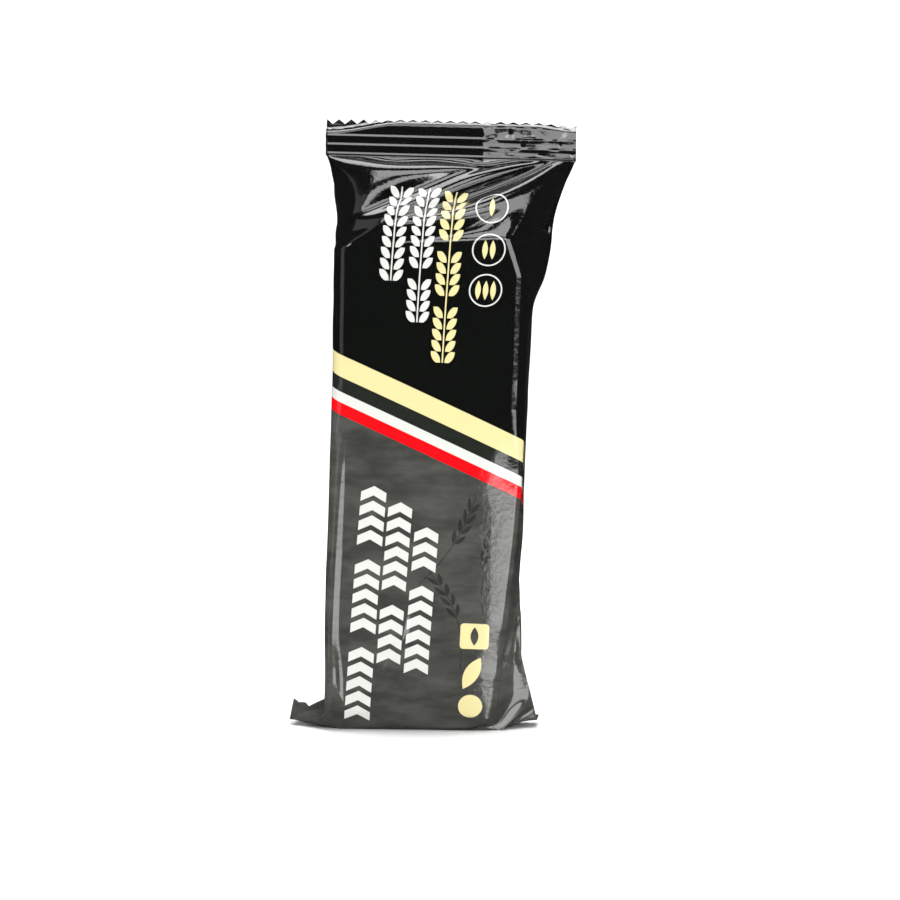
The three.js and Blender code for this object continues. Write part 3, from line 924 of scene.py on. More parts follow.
@dataclass
class FlowPack:
    """The shut pack: one closed skin from the lower cut edge to the upper one.

    Attributes:
        seam_width: The width of the folded back seam.
        seam_height: How far it stands out.
        seam_ridge: Half the height of its ridges.
        seam_pitch: From one ridge to the next.
        seam_free: Where its height rises, from its free edge.
        seam_folded: The same from its folded edge.
        seam_in: From the end of the underside to where it has its height.
        seam_pressed: Where the top seal presses it flatter, from that seal's root.
        seam_press: By how much, as a share of its height.
        lumps_in: From the end of the underside to where the bar's lumps have their height.
        lumps_out: Where they end, from the end of the panel.
        top_rows: Rows of cells of the top seal.
        bottom_rows: Rows of cells of the bottom seal.
        teeth_rows: Rows of cells of those that the teeth take.
        rounds: How often the links pull on each grid.
        ironing: How many rounds of ironing each grid has.
        sharp: The angle from which an edge is shaded as sharp, in radians.
    """

    film: Film = Film()
    oats: Oats = Oats()
    seam_width: float = 8.7
    seam_height: float = 0.35
    seam_ridge: float = 0.06
    seam_pitch: float = 1.1
    seam_free: Span = (-0.15, 0.2)
    seam_folded: Span = (-0.1, 0.5)
    seam_in: float = 3.0
    seam_pressed: Span = (4.0, 8.0)
    seam_press: float = 0.6
    lumps_in: float = 10.0
    lumps_out: Span = (-8.0, 2.0)
    top_rows: int = 96
    bottom_rows: int = 36
    teeth_rows: int = 5
    rounds: tuple[int, ...] = (1200, 500, 200)
    ironing: tuple[int, ...] = (2, 2, 4)
    sharp: float = math.radians(70)

    def settled(self) -> Tube:
        """The tube of film, settled on one grid after another, each twice as fine as the last."""
        tube = Tube(fineness=1)
        tube.points = tube.start()
        plan = self.rounds
        for k, rounds in enumerate(plan):
            tube = tube.finer() if k else tube
            tube.settle(rounds, self.ironing[k])
            LOG.info("film settled on %d by %d cells", len(tube.rows), tube.around)
        return tube

    def seal_distances(self, length: float, rows: int, columns: int) -> Array:
        """Distances from a seal's root to its zigzag edge.

        Args:
            length: From the root to the foot of the teeth.
            rows: How many rows, the root's own left out.
            columns: How many columns round the tube.

        Returns:
            Rows by columns.
        """
        place = np.arange(columns) * 2 * self.film.seal_width / columns
        pitch = self.film.seal_width / self.film.teeth
        tooth = np.abs((place / pitch) % 1 * 2 - 1)
        straight = length - self.film.tooth_depth
        straight_rows = rows - self.teeth_rows
        inner = straight * np.arange(1, straight_rows + 1) / straight_rows
        share = np.arange(1, self.teeth_rows + 1) / self.teeth_rows
        reach = self.film.tooth_depth * (1 + tooth[None, :])
        return np.concatenate([
            np.broadcast_to(inner[:, None], (len(inner), columns)),
            straight + share[:, None] * reach,
        ])

    def skin(self, tube: Tube) -> tuple[Array, Array]:
        """The whole skin's points and their distances along the film.

        Args:
            tube: The settled tube.

        Returns:
            Three layers of rows by columns, and the distances, rows by columns.
        """
        low = self.seal_distances(self.film.bottom_seal, self.bottom_rows, tube.around)[::-1]
        high = self.seal_distances(self.film.top_seal, self.top_rows, tube.around)
        middle = tube.points[:, : tube.top_row + 1]
        along = np.broadcast_to(tube.rows[: tube.top_row + 1, None], middle.shape[1:])
        points = np.concatenate([
            tube.bottom.points(tube.across, tube.sheet, low),
            middle,
            tube.top.points(tube.across, tube.sheet, high),
        ], axis=1)
        return points, np.concatenate([-low, along, self.film.length + high])

    def normals(self, points: Array) -> Array:
        """The skin's outward directions, three layers of rows by columns."""
        along = np.gradient(points, axis=1)
        side = np.roll(points, -1, axis=2) - np.roll(points, 1, axis=2)
        made = np.cross(side, along, axis=0)
        return made / np.maximum(size(made), LEAST_AREA)

    def emboss(self, points: Array, wide: Array, along: Array) -> Array:
        """Adds the bar's lumps and the folded back seam to the skin.

        Args:
            points: Three layers of rows by columns.
            wide: Distances round the tube from the middle of the front, rows by columns.
            along: Distances along the film, rows by columns.

        Returns:
            The new points.
        """
        film = self.film
        panel = ease(along - film.panel_low, 0, self.lumps_in)
        panel = panel * (1 - ease(along - film.panel_high, *self.lumps_out))
        height = self.oats.relief(wide, along, film) * panel
        from_fold = film.seal_width + wide
        strip = ease(self.seam_width - from_fold, *self.seam_free) * ease(from_fold, *self.seam_folded)
        strip = strip * (wide < 0) * ease(along - film.panel_low, 0, self.seam_in)
        strip = strip * (1 - ease(along - film.length, *self.seam_pressed) * self.seam_press)
        ridges = np.cos(wide / self.seam_pitch * 2 * np.pi) * self.seam_ridge
        height = height + strip * (self.seam_height + ridges)
        return points + self.normals(points) * height

    def round_tube(self, tube: Tube) -> Array:
        """Each column's distance round the tube from the middle of the front, negative to the left."""
        width = self.film.seal_width
        place = np.arange(tube.around) * tube.cell
        return place - width / 2 - 2 * width * (place >= 1.5 * width)

    def placed(self, points: Array) -> Array:
        """The skin in the row frame: on the floor, in the middle of the solid's box.

        Args:
            points: Three layers of rows by columns, in millimetres.

        Returns:
            The points in metres, one a row.
        """
        flat = points.reshape(3, -1).T.astype(float)
        lowest, highest = flat.min(0), flat.max(0)
        middle = (np.array(cad_box[0]) + np.array(cad_box[1])) / 2 / METRES
        shift = middle - (lowest + highest) / 2
        shift[2] = -lowest[2]
        return (flat + shift) * METRES

    def faces(self, wide: Array, along: Array, cell: float) -> tuple[Array, Array, Array]:
        """The skin's faces, with the flat film's coordinates at their corners.

        Args:
            wide: Distances round the tube from the middle of the front, rows by columns.
            along: Distances along the film, rows by columns.
            cell: The width of a cell.

        Returns:
            The corners' point numbers, where each face starts among them, and the corners'
            places in the film's map, one a row.
        """
        rows, around = along.shape
        places = np.meshgrid(np.arange(rows - 1), np.arange(around), indexing="ij")
        row, first = (grid.ravel() for grid in places)
        second = (first + 1) % around
        lower, upper = row * around, (row + 1) * around
        quads = np.stack([lower + first, lower + second, upper + second, upper + first], axis=1)
        left = wide[0, first]
        right = left + cell
        quad_wide = np.stack([left, right, right, left], axis=1)
        caps, cap_at = self.caps(rows, around)
        corners = np.concatenate([quads.ravel(), caps])
        starts = np.concatenate([np.arange(len(quads)) * 4, quads.size + cap_at])
        u = np.concatenate([quad_wide.ravel(), wide.ravel()[caps]])
        v = along.ravel()[corners]
        on_map = np.stack([u / (2 * self.film.seal_width) + 0.5, v / PRINT_LENGTH + PRINT_START], axis=1)
        return corners, starts, on_map

    def build(self) -> bpy.types.Object:
        """Makes the pack's mesh, with the flat film's coordinates as its UV map.

        Returns:
            The new object, in the row frame.
        """
        tube = self.settled()
        points, along = self.skin(tube)
        wide = np.broadcast_to(self.round_tube(tube), along.shape)
        flat = self.placed(self.emboss(points, wide, along))
        corners, starts, on_map = self.faces(wide, along, tube.cell)
        mesh = bpy.data.meshes.new("film_skin")
        mesh.vertices.add(len(flat))
        mesh.vertices.foreach_set("co", flat.astype(np.float32).ravel())
        mesh.loops.add(len(corners))
        mesh.loops.foreach_set("vertex_index", corners.astype(np.int32))
        mesh.polygons.add(len(starts))
        mesh.polygons.foreach_set("loop_start", starts.astype(np.int32))
        uv = mesh.uv_layers.new(name=FILM_MAP)
        uv.data.foreach_set("uv", on_map.astype(np.float32).ravel())
        mesh.update(calc_edges=True)
        mesh.validate()
        mesh.shade_smooth()
        mesh.set_sharp_from_angle(angle=self.sharp)
        made = bpy.data.objects.new("flow_pack_film", mesh)
        bpy.context.scene.collection.objects.link(made)
        return made

    def caps(self, rows: int, around: int) -> tuple[Array, Array]:
        """The faces that close the two cut edges between their sheets.

        Args:
            rows: Rows of the skin.
            around: Columns round the tube.

        Returns:
            The corners' point numbers, and where each face starts among them.
        """
        corners: list[int] = []
        starts: list[int] = []
        for row in (0, rows - 1):
            for column in range(around // 2):
                front, back = [column, column + 1], [(around - column) % around, around - column - 1]
                face = [front[0], front[1]]
                face += [back[1]] if back[1] != front[1] else []
                face += [back[0]] if back[0] != front[0] else []
                face = [row * around + corner for corner in face]
                starts.append(len(corners))
                corners += face if row else face[::-1]
        return np.array(corners), np.array(starts)


@dataclass(frozen=True)
class Noise:
    """A kind of smooth noise.

    Attributes:
        scale: How many waves there are in a millimetre.
        detail: How many finer layers it has.
        roughness: How strong each finer layer is.
    """

    scale: float
    detail: float
    roughness: float


class Value:
    """A number from a shader's socket, with Python's operators as Math nodes."""

    def __init__(self, tree: Shader, socket: bpy.types.NodeSocket) -> None:
        """Wraps a socket of a tree."""
        self.tree = tree
        self.socket = socket

    def math(self, operation: str, *others: Value | float) -> Value:
        """A Math node on this number and up to two more."""
        return self.tree.math(operation, self, *others)

    def __add__(self, other: Value | float) -> Value:
        """This number plus another."""
        return self.math("ADD", other)

    def __radd__(self, other: float) -> Value:
        """Another number plus this one."""
        return self.math("ADD", other)

    def __sub__(self, other: Value | float) -> Value:
        """This number less another."""
        return self.math("SUBTRACT", other)

    def __rsub__(self, other: float) -> Value:
        """Another number less this one."""
        return self.tree.math("SUBTRACT", other, self)

    def __mul__(self, other: Value | float) -> Value:
        """This number times another."""
        return self.math("MULTIPLY", other)

    def __rmul__(self, other: float) -> Value:
        """Another number times this one."""
        return self.math("MULTIPLY", other)

    def __abs__(self) -> Value:
        """This number without its sign."""
        return self.math("ABSOLUTE")

    def __lt__(self, other: Value | float) -> Value:
        """1 where this number is the smaller, otherwise 0."""
        return self.math("LESS_THAN", other)

    def __gt__(self, other: Value | float) -> Value:
        """1 where this number is the greater, otherwise 0."""
        return self.math("GREATER_THAN", other)

    def __or__(self, other: Value | float) -> Value:
        """The greater of two masks."""
        return self.math("MAXIMUM", other)

    def __and__(self, other: Value | float) -> Value:
        """Two masks at once."""
        return self.math("MULTIPLY", other)


class Shader:
    """A material's node tree, with short ways to add to it."""

    def __init__(self, name: str) -> None:
        """Makes a material with an empty tree."""
        self.material = bpy.data.materials.new(name)
        self.material.use_nodes = True
        self.nodes = self.material.node_tree.nodes
        self.nodes.clear()

    def add(self, kind: str, settings: dict | None = None, **sockets: object) -> bpy.types.Node:
        """Adds any node.

        Args:
            kind: The node's type.
            settings: The node's own properties, set first.
            sockets: Values or links of its sockets, by name with _ for a space, or as _0, _1 by number.

        Returns:
            The node.
        """
        node = self.nodes.new(kind)
        for name, value in (settings or {}).items():
            setattr(node, name, value)
        for name, value in sockets.items():
            number = name[1:]
            self.feed(node.inputs[int(number) if number.isdigit() else name.replace("_", " ")], value)
        return node

    def feed(self, socket: bpy.types.NodeSocket, value: object) -> None:
        """Links a socket to a value's socket, or sets it to a constant."""
        if isinstance(value, Value):
            value = value.socket
        if isinstance(value, bpy.types.NodeSocket):
            self.material.node_tree.links.new(value, socket)
        elif isinstance(value, tuple) and len(value) == 3 and socket.type == "RGBA":
            socket.default_value = (*value, 1)
        else:
            socket.default_value = value

    def math(self, operation: str, *values: Value | float, clamp: bool = False) -> Value:
        """A Math node on one to three numbers.

        Args:
            operation: What the node does.
            values: The numbers.
            clamp: Whether the result is kept between 0 and 1.

        Returns:
            The result.
        """
        node = self.add("ShaderNodeMath", {"operation": operation, "use_clamp": clamp})
        for socket, value in zip(node.inputs, values):
            self.feed(socket, value)
        return Value(self, node.outputs[0])

    def noise(self, place: bpy.types.NodeSocket, kind: Noise) -> Value:
        """Smooth noise of a kind at a place, from 0 to 1."""
        sizes = {"Scale": kind.scale, "Detail": kind.detail, "Roughness": kind.roughness}
        node = self.add("ShaderNodeTexNoise", None, Vector=place, **sizes)
        return Value(self, node.outputs["Fac"])

    def ramp(self, value: Value, span: Span) -> Value:
        """Runs smoothly from 0 at a span's start to 1 at its end."""
        settings = {"interpolation_type": "SMOOTHSTEP"}
        node = self.add("ShaderNodeMapRange", settings, Value=value, From_Min=span[0], From_Max=span[1])
        return Value(self, node.outputs[0])

    def surface(self, **sockets: object) -> None:
        """Gives the material its surface, with values or links of that node's sockets by name."""
        node = self.add("ShaderNodeBsdfPrincipled", None, **sockets)
        self.add("ShaderNodeOutputMaterial", None, Surface=node.outputs[0])

    def paint(self, under: Paint, over: Paint, mask: Value) -> bpy.types.NodeSocket:
        """Lays one colour over another.

        Args:
            under: The colour where the mask is 0.
            over: The colour where the mask is 1.
            mask: The mask.

        Returns:
            The mixed colour's socket.
        """
        settings = {"data_type": "RGBA", "clamp_factor": True}
        node = self.add("ShaderNodeMix", settings, _0=mask, _6=under, _7=over)
        return node.outputs[2]


class Ink(Enum):
    """The inks of the print."""

    BLACK = (0.0035, 0.0042, 0.0036)
    GAP = (0.016, 0.019, 0.015)
    STONE = (0.040, 0.040, 0.036)
    PALE_STONE = (0.085, 0.085, 0.077)
    STALK = (0.02, 0.02, 0.018)
    CREAM = (0.74, 0.66, 0.33)
    WHITE = (0.68, 0.69, 0.65)
    RED = (0.80, 0.004, 0.008)


@dataclass(frozen=True)
class Place:
    """A place on the flat film's front, with the directions of a shape that is laid there.

    Attributes:
        wide: Distance to the right of the front's middle line.
        along: Distance along the film from the root of the bottom seal.
        tilt: How far the shape's upright leans to the right, in degrees.
    """

    wide: float
    along: float
    tilt: float = 0.0


@dataclass(frozen=True)
class Column:
    """A column of shapes that repeat up it: pairs of an ear's grains, or chevrons.

    Attributes:
        place: The column's middle.
        width: Its width.
        steps: How many shapes it would have without gaps.
        pitch: From one shape to the next.
        gaps: Numbers of the shapes that are left out, counted up from 0 at the foot.
    """

    place: Place
    width: float
    steps: int
    pitch: float
    gaps: tuple[int, ...] = ()


@dataclass(frozen=True)
class Stripe:
    """A slanting stripe.

    Attributes:
        ink: Its ink.
        middle: How far below the stripes' upper edge its middle is.
        half: Half its width.
    """

    ink: Ink
    middle: float
    half: float


@dataclass(frozen=True)
class Ear:
    """The shape of an ear of oats, as shares of its width.

    Attributes:
        slant: How far its grains slant outward, in radians.
        out: How far a grain's middle is from the stem.
        half_wide: Half a grain's width.
        half_high: Half its length.
        stem: Half the stem's width, in millimetres.
    """

    slant: float = math.radians(32)
    out: float = 0.27
    half_wide: float = 0.135
    half_high: float = 0.34
    stem: float = 0.16


@dataclass(frozen=True)
class Stalks:
    """The fine stalks on the grey field, each with pairs of grains on its upper half.

    Attributes:
        places: Each stalk's middle, and how much it bends.
        half_line: Half its width.
        half_high: Half its height.
        pairs: How many pairs of grains it has.
        pitch: From one pair to the next.
        first: The height of the first pair.
        out: How far a grain's middle is from the stalk.
        slant: How far the grains slant outward, in degrees.
        grain: Half a grain's width and length.
        strength: How strongly they cover the grey.
    """

    places: tuple[tuple[Place, float], ...] = (
        (Place(8, 50, 30), 0.012),
        (Place(15.5, 46, 8), -0.012),
        (Place(9.5, 33, -20), 0.02),
    )
    half_line: float = 0.1
    half_high: float = 12
    pairs: int = 4
    pitch: float = 2.7
    first: float = 1.5
    out: float = 0.85
    slant: float = 24
    grain: Span = (0.5, 1.6)
    strength: float = 0.75


@dataclass(frozen=True)
class Streaks:
    """The soft streaks of the grey field.

    Attributes:
        squeeze: The scale across the film, which draws the streaks out that way.
        broad: The broad streaks' noise.
        broad_span: The values of it that run from dark to pale.
        broad_share: Their share of the tone.
        fine: The fine streaks' noise.
        fine_span: The values of it that run from dark to pale.
        fine_share: Their share of the tone.
    """

    squeeze: float = 0.35
    broad: Noise = Noise(0.16, 3, 0.55)
    broad_span: Span = (0.36, 0.66)
    broad_share: float = 0.75
    fine: Noise = Noise(0.9, 4, 0.6)
    fine_span: Span = (0.3, 0.8)
    fine_share: float = 0.25


@dataclass(frozen=True)
class Layout:
    """Where the print's shapes lie on the flat film, and their sizes in millimetres.

    Attributes:
        stripe_slope: How steeply the stripes fall to the right.
        stripe_top: Where their upper edge crosses the front's middle line.
        stripe_end: How far round the film they run, from that line.
        stripes: The coloured stripes.
        gap: The dark stripe between them.
        grey_from: How far below the stripes' upper edge the grey field starts.
        white_ears: The ears of oats in white.
        cream_ear: The one in cream.
        rings: The rings' middles, of which each has one grain more than the last.
        ring_radius: The rings' radius.
        ring_line: The width of their line.
        ring_grain: Half the width and length of a grain in them.
        ring_pitch: From one of those grains to the next.
        chevrons: The columns of chevrons.
        chevron_fall: How steeply a chevron's arms fall.
        chevron_half: Half an arm's height, as a share of the pitch.
        tile: The square's middle.
        tile_half: Half its width and height.
        tile_radius: The radius of its corners.
        tile_grain: Half the width and length of the grain that it leaves open.
        grain: The large grain's middle.
        grain_half: Half its width and length.
        disc: The disc's middle.
        disc_radius: Its radius.
    """

    stripe_slope: float = 0.407
    stripe_top: float = 84.1
    stripe_end: float = 56.0
    stripes: tuple[Stripe, ...] = (
        Stripe(Ink.CREAM, 2.5, 2.5),
        Stripe(Ink.WHITE, 9.6, 1.2),
        Stripe(Ink.RED, 12.2, 1.4),
    )
    gap: Stripe = Stripe(Ink.GAP, 6.8, 2.0)
    grey_from: float = 13.6
    white_ears: tuple[Column, ...] = (
        Column(Place(-9.9, 121.6), 5.8, 9, 2.58),
        Column(Place(-3.5, 116.9), 5.8, 13, 2.5, (4,)),
    )
    cream_ear: Column = Column(Place(2.8, 112.1), 6.0, 16, 2.56, (5, 10))
    rings: tuple[Place, ...] = (Place(11.5, 127.9), Place(11.5, 117.9), Place(11.5, 108.6))
    ring_radius: float = 3.6
    ring_line: float = 0.32
    ring_grain: Span = (0.62, 2.2)
    ring_pitch: float = 1.7
    chevrons: tuple[Column, ...] = (
        Column(Place(-11.9, 36.0, 1.6), 5.9, 16, 3.4, (5, 11)),
        Column(Place(-5.3, 41.0, 1.6), 5.6, 11, 3.4, (4,)),
        Column(Place(1.15, 37.2, 1.6), 5.6, 10, 3.4, (6,)),
    )
    chevron_fall: float = 0.5
    chevron_half: float = 0.32
    tile: Place = Place(13.9, 28.7)
    tile_half: Span = (3.3, 3.0)
    tile_radius: float = 0.8
    tile_grain: Span = (0.9, 2.2)
    grain: Place = Place(13.6, 20.0, 28)
    grain_half: Span = (1.7, 4.2)
    disc: Place = Place(13.3, 12.2)
    disc_radius: float = 2.7


@dataclass
class Print:
    """The pack's print: fields of colour and simple shapes, laid out on the flat film.

    Attributes:
        shader: The material that it is for.
        edge: How wide the soft edge of a shape is.
        wide: Distance round the film from the front's middle line.
        along: Distance along the film from the bottom seal's root.
    """

    shader: Shader
    film: Film = Film()
    layout: Layout = Layout()
    oat_ear: Ear = Ear()
    stalks: Stalks = Stalks()
    streaks: Streaks = Streaks()
    edge: float = 0.06
    wide: Value = field(init=False)
    along: Value = field(init=False)

    def __post_init__(self) -> None:
        """Reads the flat film's coordinates, in millimetres."""
        uv = self.shader.add("ShaderNodeUVMap", {"uv_map": FILM_MAP})
        parts = self.shader.add("ShaderNodeSeparateXYZ", None, Vector=uv.outputs[0])
        self.wide = (Value(self.shader, parts.outputs[0]) - 0.5) * (2 * self.film.seal_width)
        self.along = (Value(self.shader, parts.outputs[1]) - PRINT_START) * PRINT_LENGTH
        self.flat = self.shader.add("ShaderNodeCombineXYZ", None, X=self.wide, Y=self.along).outputs[0]

    def inside(self, distance: Value) -> Value:
        """A mask with a soft edge, from a signed distance that is negative inside."""
        return self.shader.math("MULTIPLY_ADD", distance, -1 / self.edge, 0.5, clamp=True)

    def local(self, place: Place) -> tuple[Value, Value]:
        """The coordinates of a shape's own frame, to its right and up it."""
        right, up = self.wide - place.wide, self.along - place.along
        return self.turned(right, up, place.tilt) if place.tilt else (right, up)

    def turned(self, right: Value, up: Value, tilt: float) -> tuple[Value, Value]:
        """The coordinates of a frame whose upright leans to the right by some degrees."""
        cos, sin = math.cos(math.radians(tilt)), math.sin(math.radians(tilt))
        return right * cos - up * sin, right * sin + up * cos

    def tile(self, right: Value, up: Value, half: Span, radius: float) -> Value:
        """A rounded rectangle's mask, in its own frame."""
        x = (abs(right) - (half[0] - radius)).math("MAXIMUM", 0)
        y = (abs(up) - (half[1] - radius)).math("MAXIMUM", 0)
        return self.disc(x, y, radius)

    def disc(self, right: Value, up: Value, radius: float) -> Value:
        """A disc's mask, in its own frame."""
        return self.inside((right * right + up * up).math("SQRT") - radius)

    def grain(self, right: Value, up: Value, half: Span) -> Value:
        """An oat grain's mask: a pointed oval that stands upright in its own frame."""
        y = up * (1 / half[1])
        return self.inside(abs(right) - (1 - y * y) * half[0])

    def without_gaps(self, mask: Value, height: Value, column: Column) -> Value:
        """A column's mask without the shapes that are left out.

        Args:
            mask: The mask of shapes that go on without an end.
            height: The height above the column's middle.
            column: The column.

        Returns:
            The column's mask.
        """
        half = column.steps * column.pitch / 2
        for gap in column.gaps:
            mask = mask & (abs(height + half - (gap + 0.5) * column.pitch) > column.pitch / 2)
        return mask

    def ear(self, column: Column) -> Value:
        """The mask of an ear of oats: pairs of grains that slant outward from a thin stem."""
        shape, width, pitch = self.oat_ear, column.width, column.pitch
        right, up = self.local(column.place)
        half = column.steps * pitch / 2
        saw = ((up + half) * (1 / pitch)).math("FRACT") * pitch - pitch / 2
        out = abs(right) - width * shape.out
        cos, sin = math.cos(shape.slant), math.sin(shape.slant)
        grains = self.grain(
            out * cos - saw * sin, out * sin + saw * cos, (width * shape.half_wide, width * shape.half_high)
        )
        made = self.without_gaps(grains, up, column) | self.inside(abs(right) - shape.stem)
        return made & (abs(up) < half)

    def chevrons(self, column: Column) -> Value:
        """The mask of a column of bold chevrons that point up it."""
        right, up = self.local(column.place)
        half = column.steps * column.pitch / 2
        bent = up + abs(right) * self.layout.chevron_fall
        saw = ((bent + half) * (1 / column.pitch)).math("FRACT") * column.pitch
        arms = self.inside(abs(saw - column.pitch / 2) - column.pitch * self.layout.chevron_half)
        made = arms & self.inside(abs(right) - column.width / 2)
        return self.without_gaps(made, bent, column) & (abs(bent) < half)

    def ring(self, place: Place) -> Value:
        """A thin ring's mask."""
        right, up = self.local(place)
        distance = (right * right + up * up).math("SQRT")
        return self.inside(abs(distance - self.layout.ring_radius) - self.layout.ring_line / 2)

    def fields(self, colour: Paint) -> bpy.types.NodeSocket:
        """Lays the slanting stripes and the grey field below them over a colour."""
        layout, shader = self.layout, self.shader
        down = layout.stripe_top - self.wide * layout.stripe_slope - self.along
        round_front = self.inside(abs(self.wide) - layout.stripe_end)
        colour = shader.paint(colour, self.grey_field(), self.inside(layout.grey_from - down))
        gap = self.inside(abs(down - layout.gap.middle) - layout.gap.half)
        colour = shader.paint(colour, layout.gap.ink.value, gap)
        for stripe in layout.stripes:
            mask = self.inside(abs(down - stripe.middle) - stripe.half) & round_front
            colour = shader.paint(colour, stripe.ink.value, mask)
        return colour

    def grey_field(self) -> bpy.types.NodeSocket:
        """The dark grey of the lower panel, with soft streaks and fine stalks of a like grey."""
        shader, streaks = self.shader, self.streaks
        scale = (streaks.squeeze, 1.0, 1.0)
        drawn = shader.add("ShaderNodeMapping", None, Vector=self.flat, Scale=scale).outputs[0]
        broad = shader.ramp(shader.noise(drawn, streaks.broad), streaks.broad_span)
        fine = shader.ramp(shader.noise(drawn, streaks.fine), streaks.fine_span)
        tone = broad * streaks.broad_share + fine * streaks.fine_share
        grey = shader.paint(Ink.STONE.value, Ink.PALE_STONE.value, tone)
        masks = [self.stalk(place, bend) for place, bend in self.stalks.places]
        return shader.paint(grey, Ink.STALK.value, self.together(masks) * self.stalks.strength)

    def stalk(self, place: Place, bend: float) -> Value:
        """The mask of a stalk with its grains.

        Args:
            place: The stalk's middle.
            bend: How much it bends.

        Returns:
            The mask.
        """
        shape = self.stalks
        right, up = self.local(place)
        right = right + up * up * bend
        masks = [self.inside(abs(right) - shape.half_line) & self.inside(abs(up) - shape.half_high)]
        for side in (-1, 1):
            for k in range(shape.pairs):
                height = up - shape.pitch * k - shape.first
                grain = self.turned(right - side * shape.out, height, side * shape.slant)
                masks.append(self.grain(*grain, shape.grain))
        return self.together(masks)

    def together(self, masks: list[Value]) -> Value:
        """The mask of everything that is in one of some masks."""
        made = masks[0]
        for mask in masks[1:]:
            made = made | mask
        return made

    def marks(self) -> list[Value]:
        """The masks of the small cream shapes at the lower right: a square, a grain and a disc."""
        layout = self.layout
        right, up = self.local(layout.tile)
        square = self.tile(right, up, layout.tile_half, layout.tile_radius)
        square = square & (1 - self.grain(right, up, layout.tile_grain))
        grain = self.grain(*self.local(layout.grain), layout.grain_half)
        return [square, grain, self.disc(*self.local(layout.disc), layout.disc_radius)]

    def colour(self) -> bpy.types.NodeSocket:
        """The whole print's colour."""
        layout, shader = self.layout, self.shader
        colour = self.fields(Ink.BLACK.value)
        white = [self.ear(column) for column in layout.white_ears]
        white += [self.chevrons(column) for column in layout.chevrons]
        white += [self.ring(place) for place in layout.rings]
        cream = [self.ear(layout.cream_ear), *self.marks()]
        for k, ring in enumerate(layout.rings):
            for n in range(k + 1):
                right, up = self.local(Place(ring.wide + (n - k / 2) * layout.ring_pitch, ring.along))
                cream.append(self.grain(right, up, layout.ring_grain))
        colour = shader.paint(colour, Ink.WHITE.value, self.together(white))
        return shader.paint(colour, Ink.CREAM.value, self.together(cream))


@dataclass(frozen=True)
class GlossyFilm:
    """The finish of the printed film: a smooth, clear plastic face over the ink.

    Attributes:
        roughness: The least roughness.
        haze: The noise of the duller patches.
        haze_span: The values of it that run from clear to dull.
        haze_roughness: How much roughness they add.
        coat: The weight of the clear face.
        coat_roughness: Its roughness.
        index: The film's index of refraction.
        waves: The noise of the film's faint waves.
        wave_strength: How strongly they tilt it.
        wave_height: Their height, in metres.
    """

    roughness: float = 0.05
    haze: Noise = Noise(0.35, 4, 0.6)
    haze_span: Span = (0.35, 0.75)
    haze_roughness: float = 0.06
    coat: float = 1.0
    coat_roughness: float = 0.03
    index: float = 1.6
    waves: Noise = Noise(0.9, 3, 0.5)
    wave_strength: float = 0.06
    wave_height: float = 0.001

    def material(self) -> bpy.types.Material:
        """Makes the film's material."""
        shader = Shader("printed_glossy_film")
        art = Print(shader)
        haze = shader.ramp(shader.noise(art.flat, self.haze), self.haze_span)
        waves = shader.noise(art.flat, self.waves)
        bump = shader.add(
            "ShaderNodeBump", None, Height=waves, Strength=self.wave_strength, Distance=self.wave_height
        )
        shader.surface(
            Base_Color=art.colour(),
            Roughness=self.roughness + haze * self.haze_roughness,
            IOR=self.index,
            Coat_Weight=self.coat,
            Coat_Roughness=self.coat_roughness,
            Normal=bump.outputs[0],
        )
        return shader.material


@dataclass(frozen=True)
class Lamp:
    """A soft rectangular light.

    Attributes:
        name: What it is for.
        place: Its middle, in metres.
        target: The point that it faces.
        size: Its width and height, in metres.
        radiance: How bright its face is, where a white thing in full light is about 1.
        mirrored: Whether the film mirrors it.
    """

    name: str
    place: tuple[float, float, float]
    target: tuple[float, float, float]
    size: tuple[float, float]
    radiance: float
    mirrored: bool = True

    def build(self) -> None:
        """Makes the light."""
        data = bpy.data.lights.new(self.name, "AREA")
        data.shape = "RECTANGLE"
        data.size, data.size_y = self.size
        data.energy = self.radiance * math.pi * data.size * data.size_y
        made = bpy.data.objects.new(self.name, data)
        made.location = self.place
        aim = Vector(self.target) - Vector(self.place)
        made.rotation_euler = aim.to_track_quat("-Z", "Y").to_euler()
        made.visible_camera = False
        made.visible_glossy = self.mirrored
        bpy.context.scene.collection.objects.link(made)


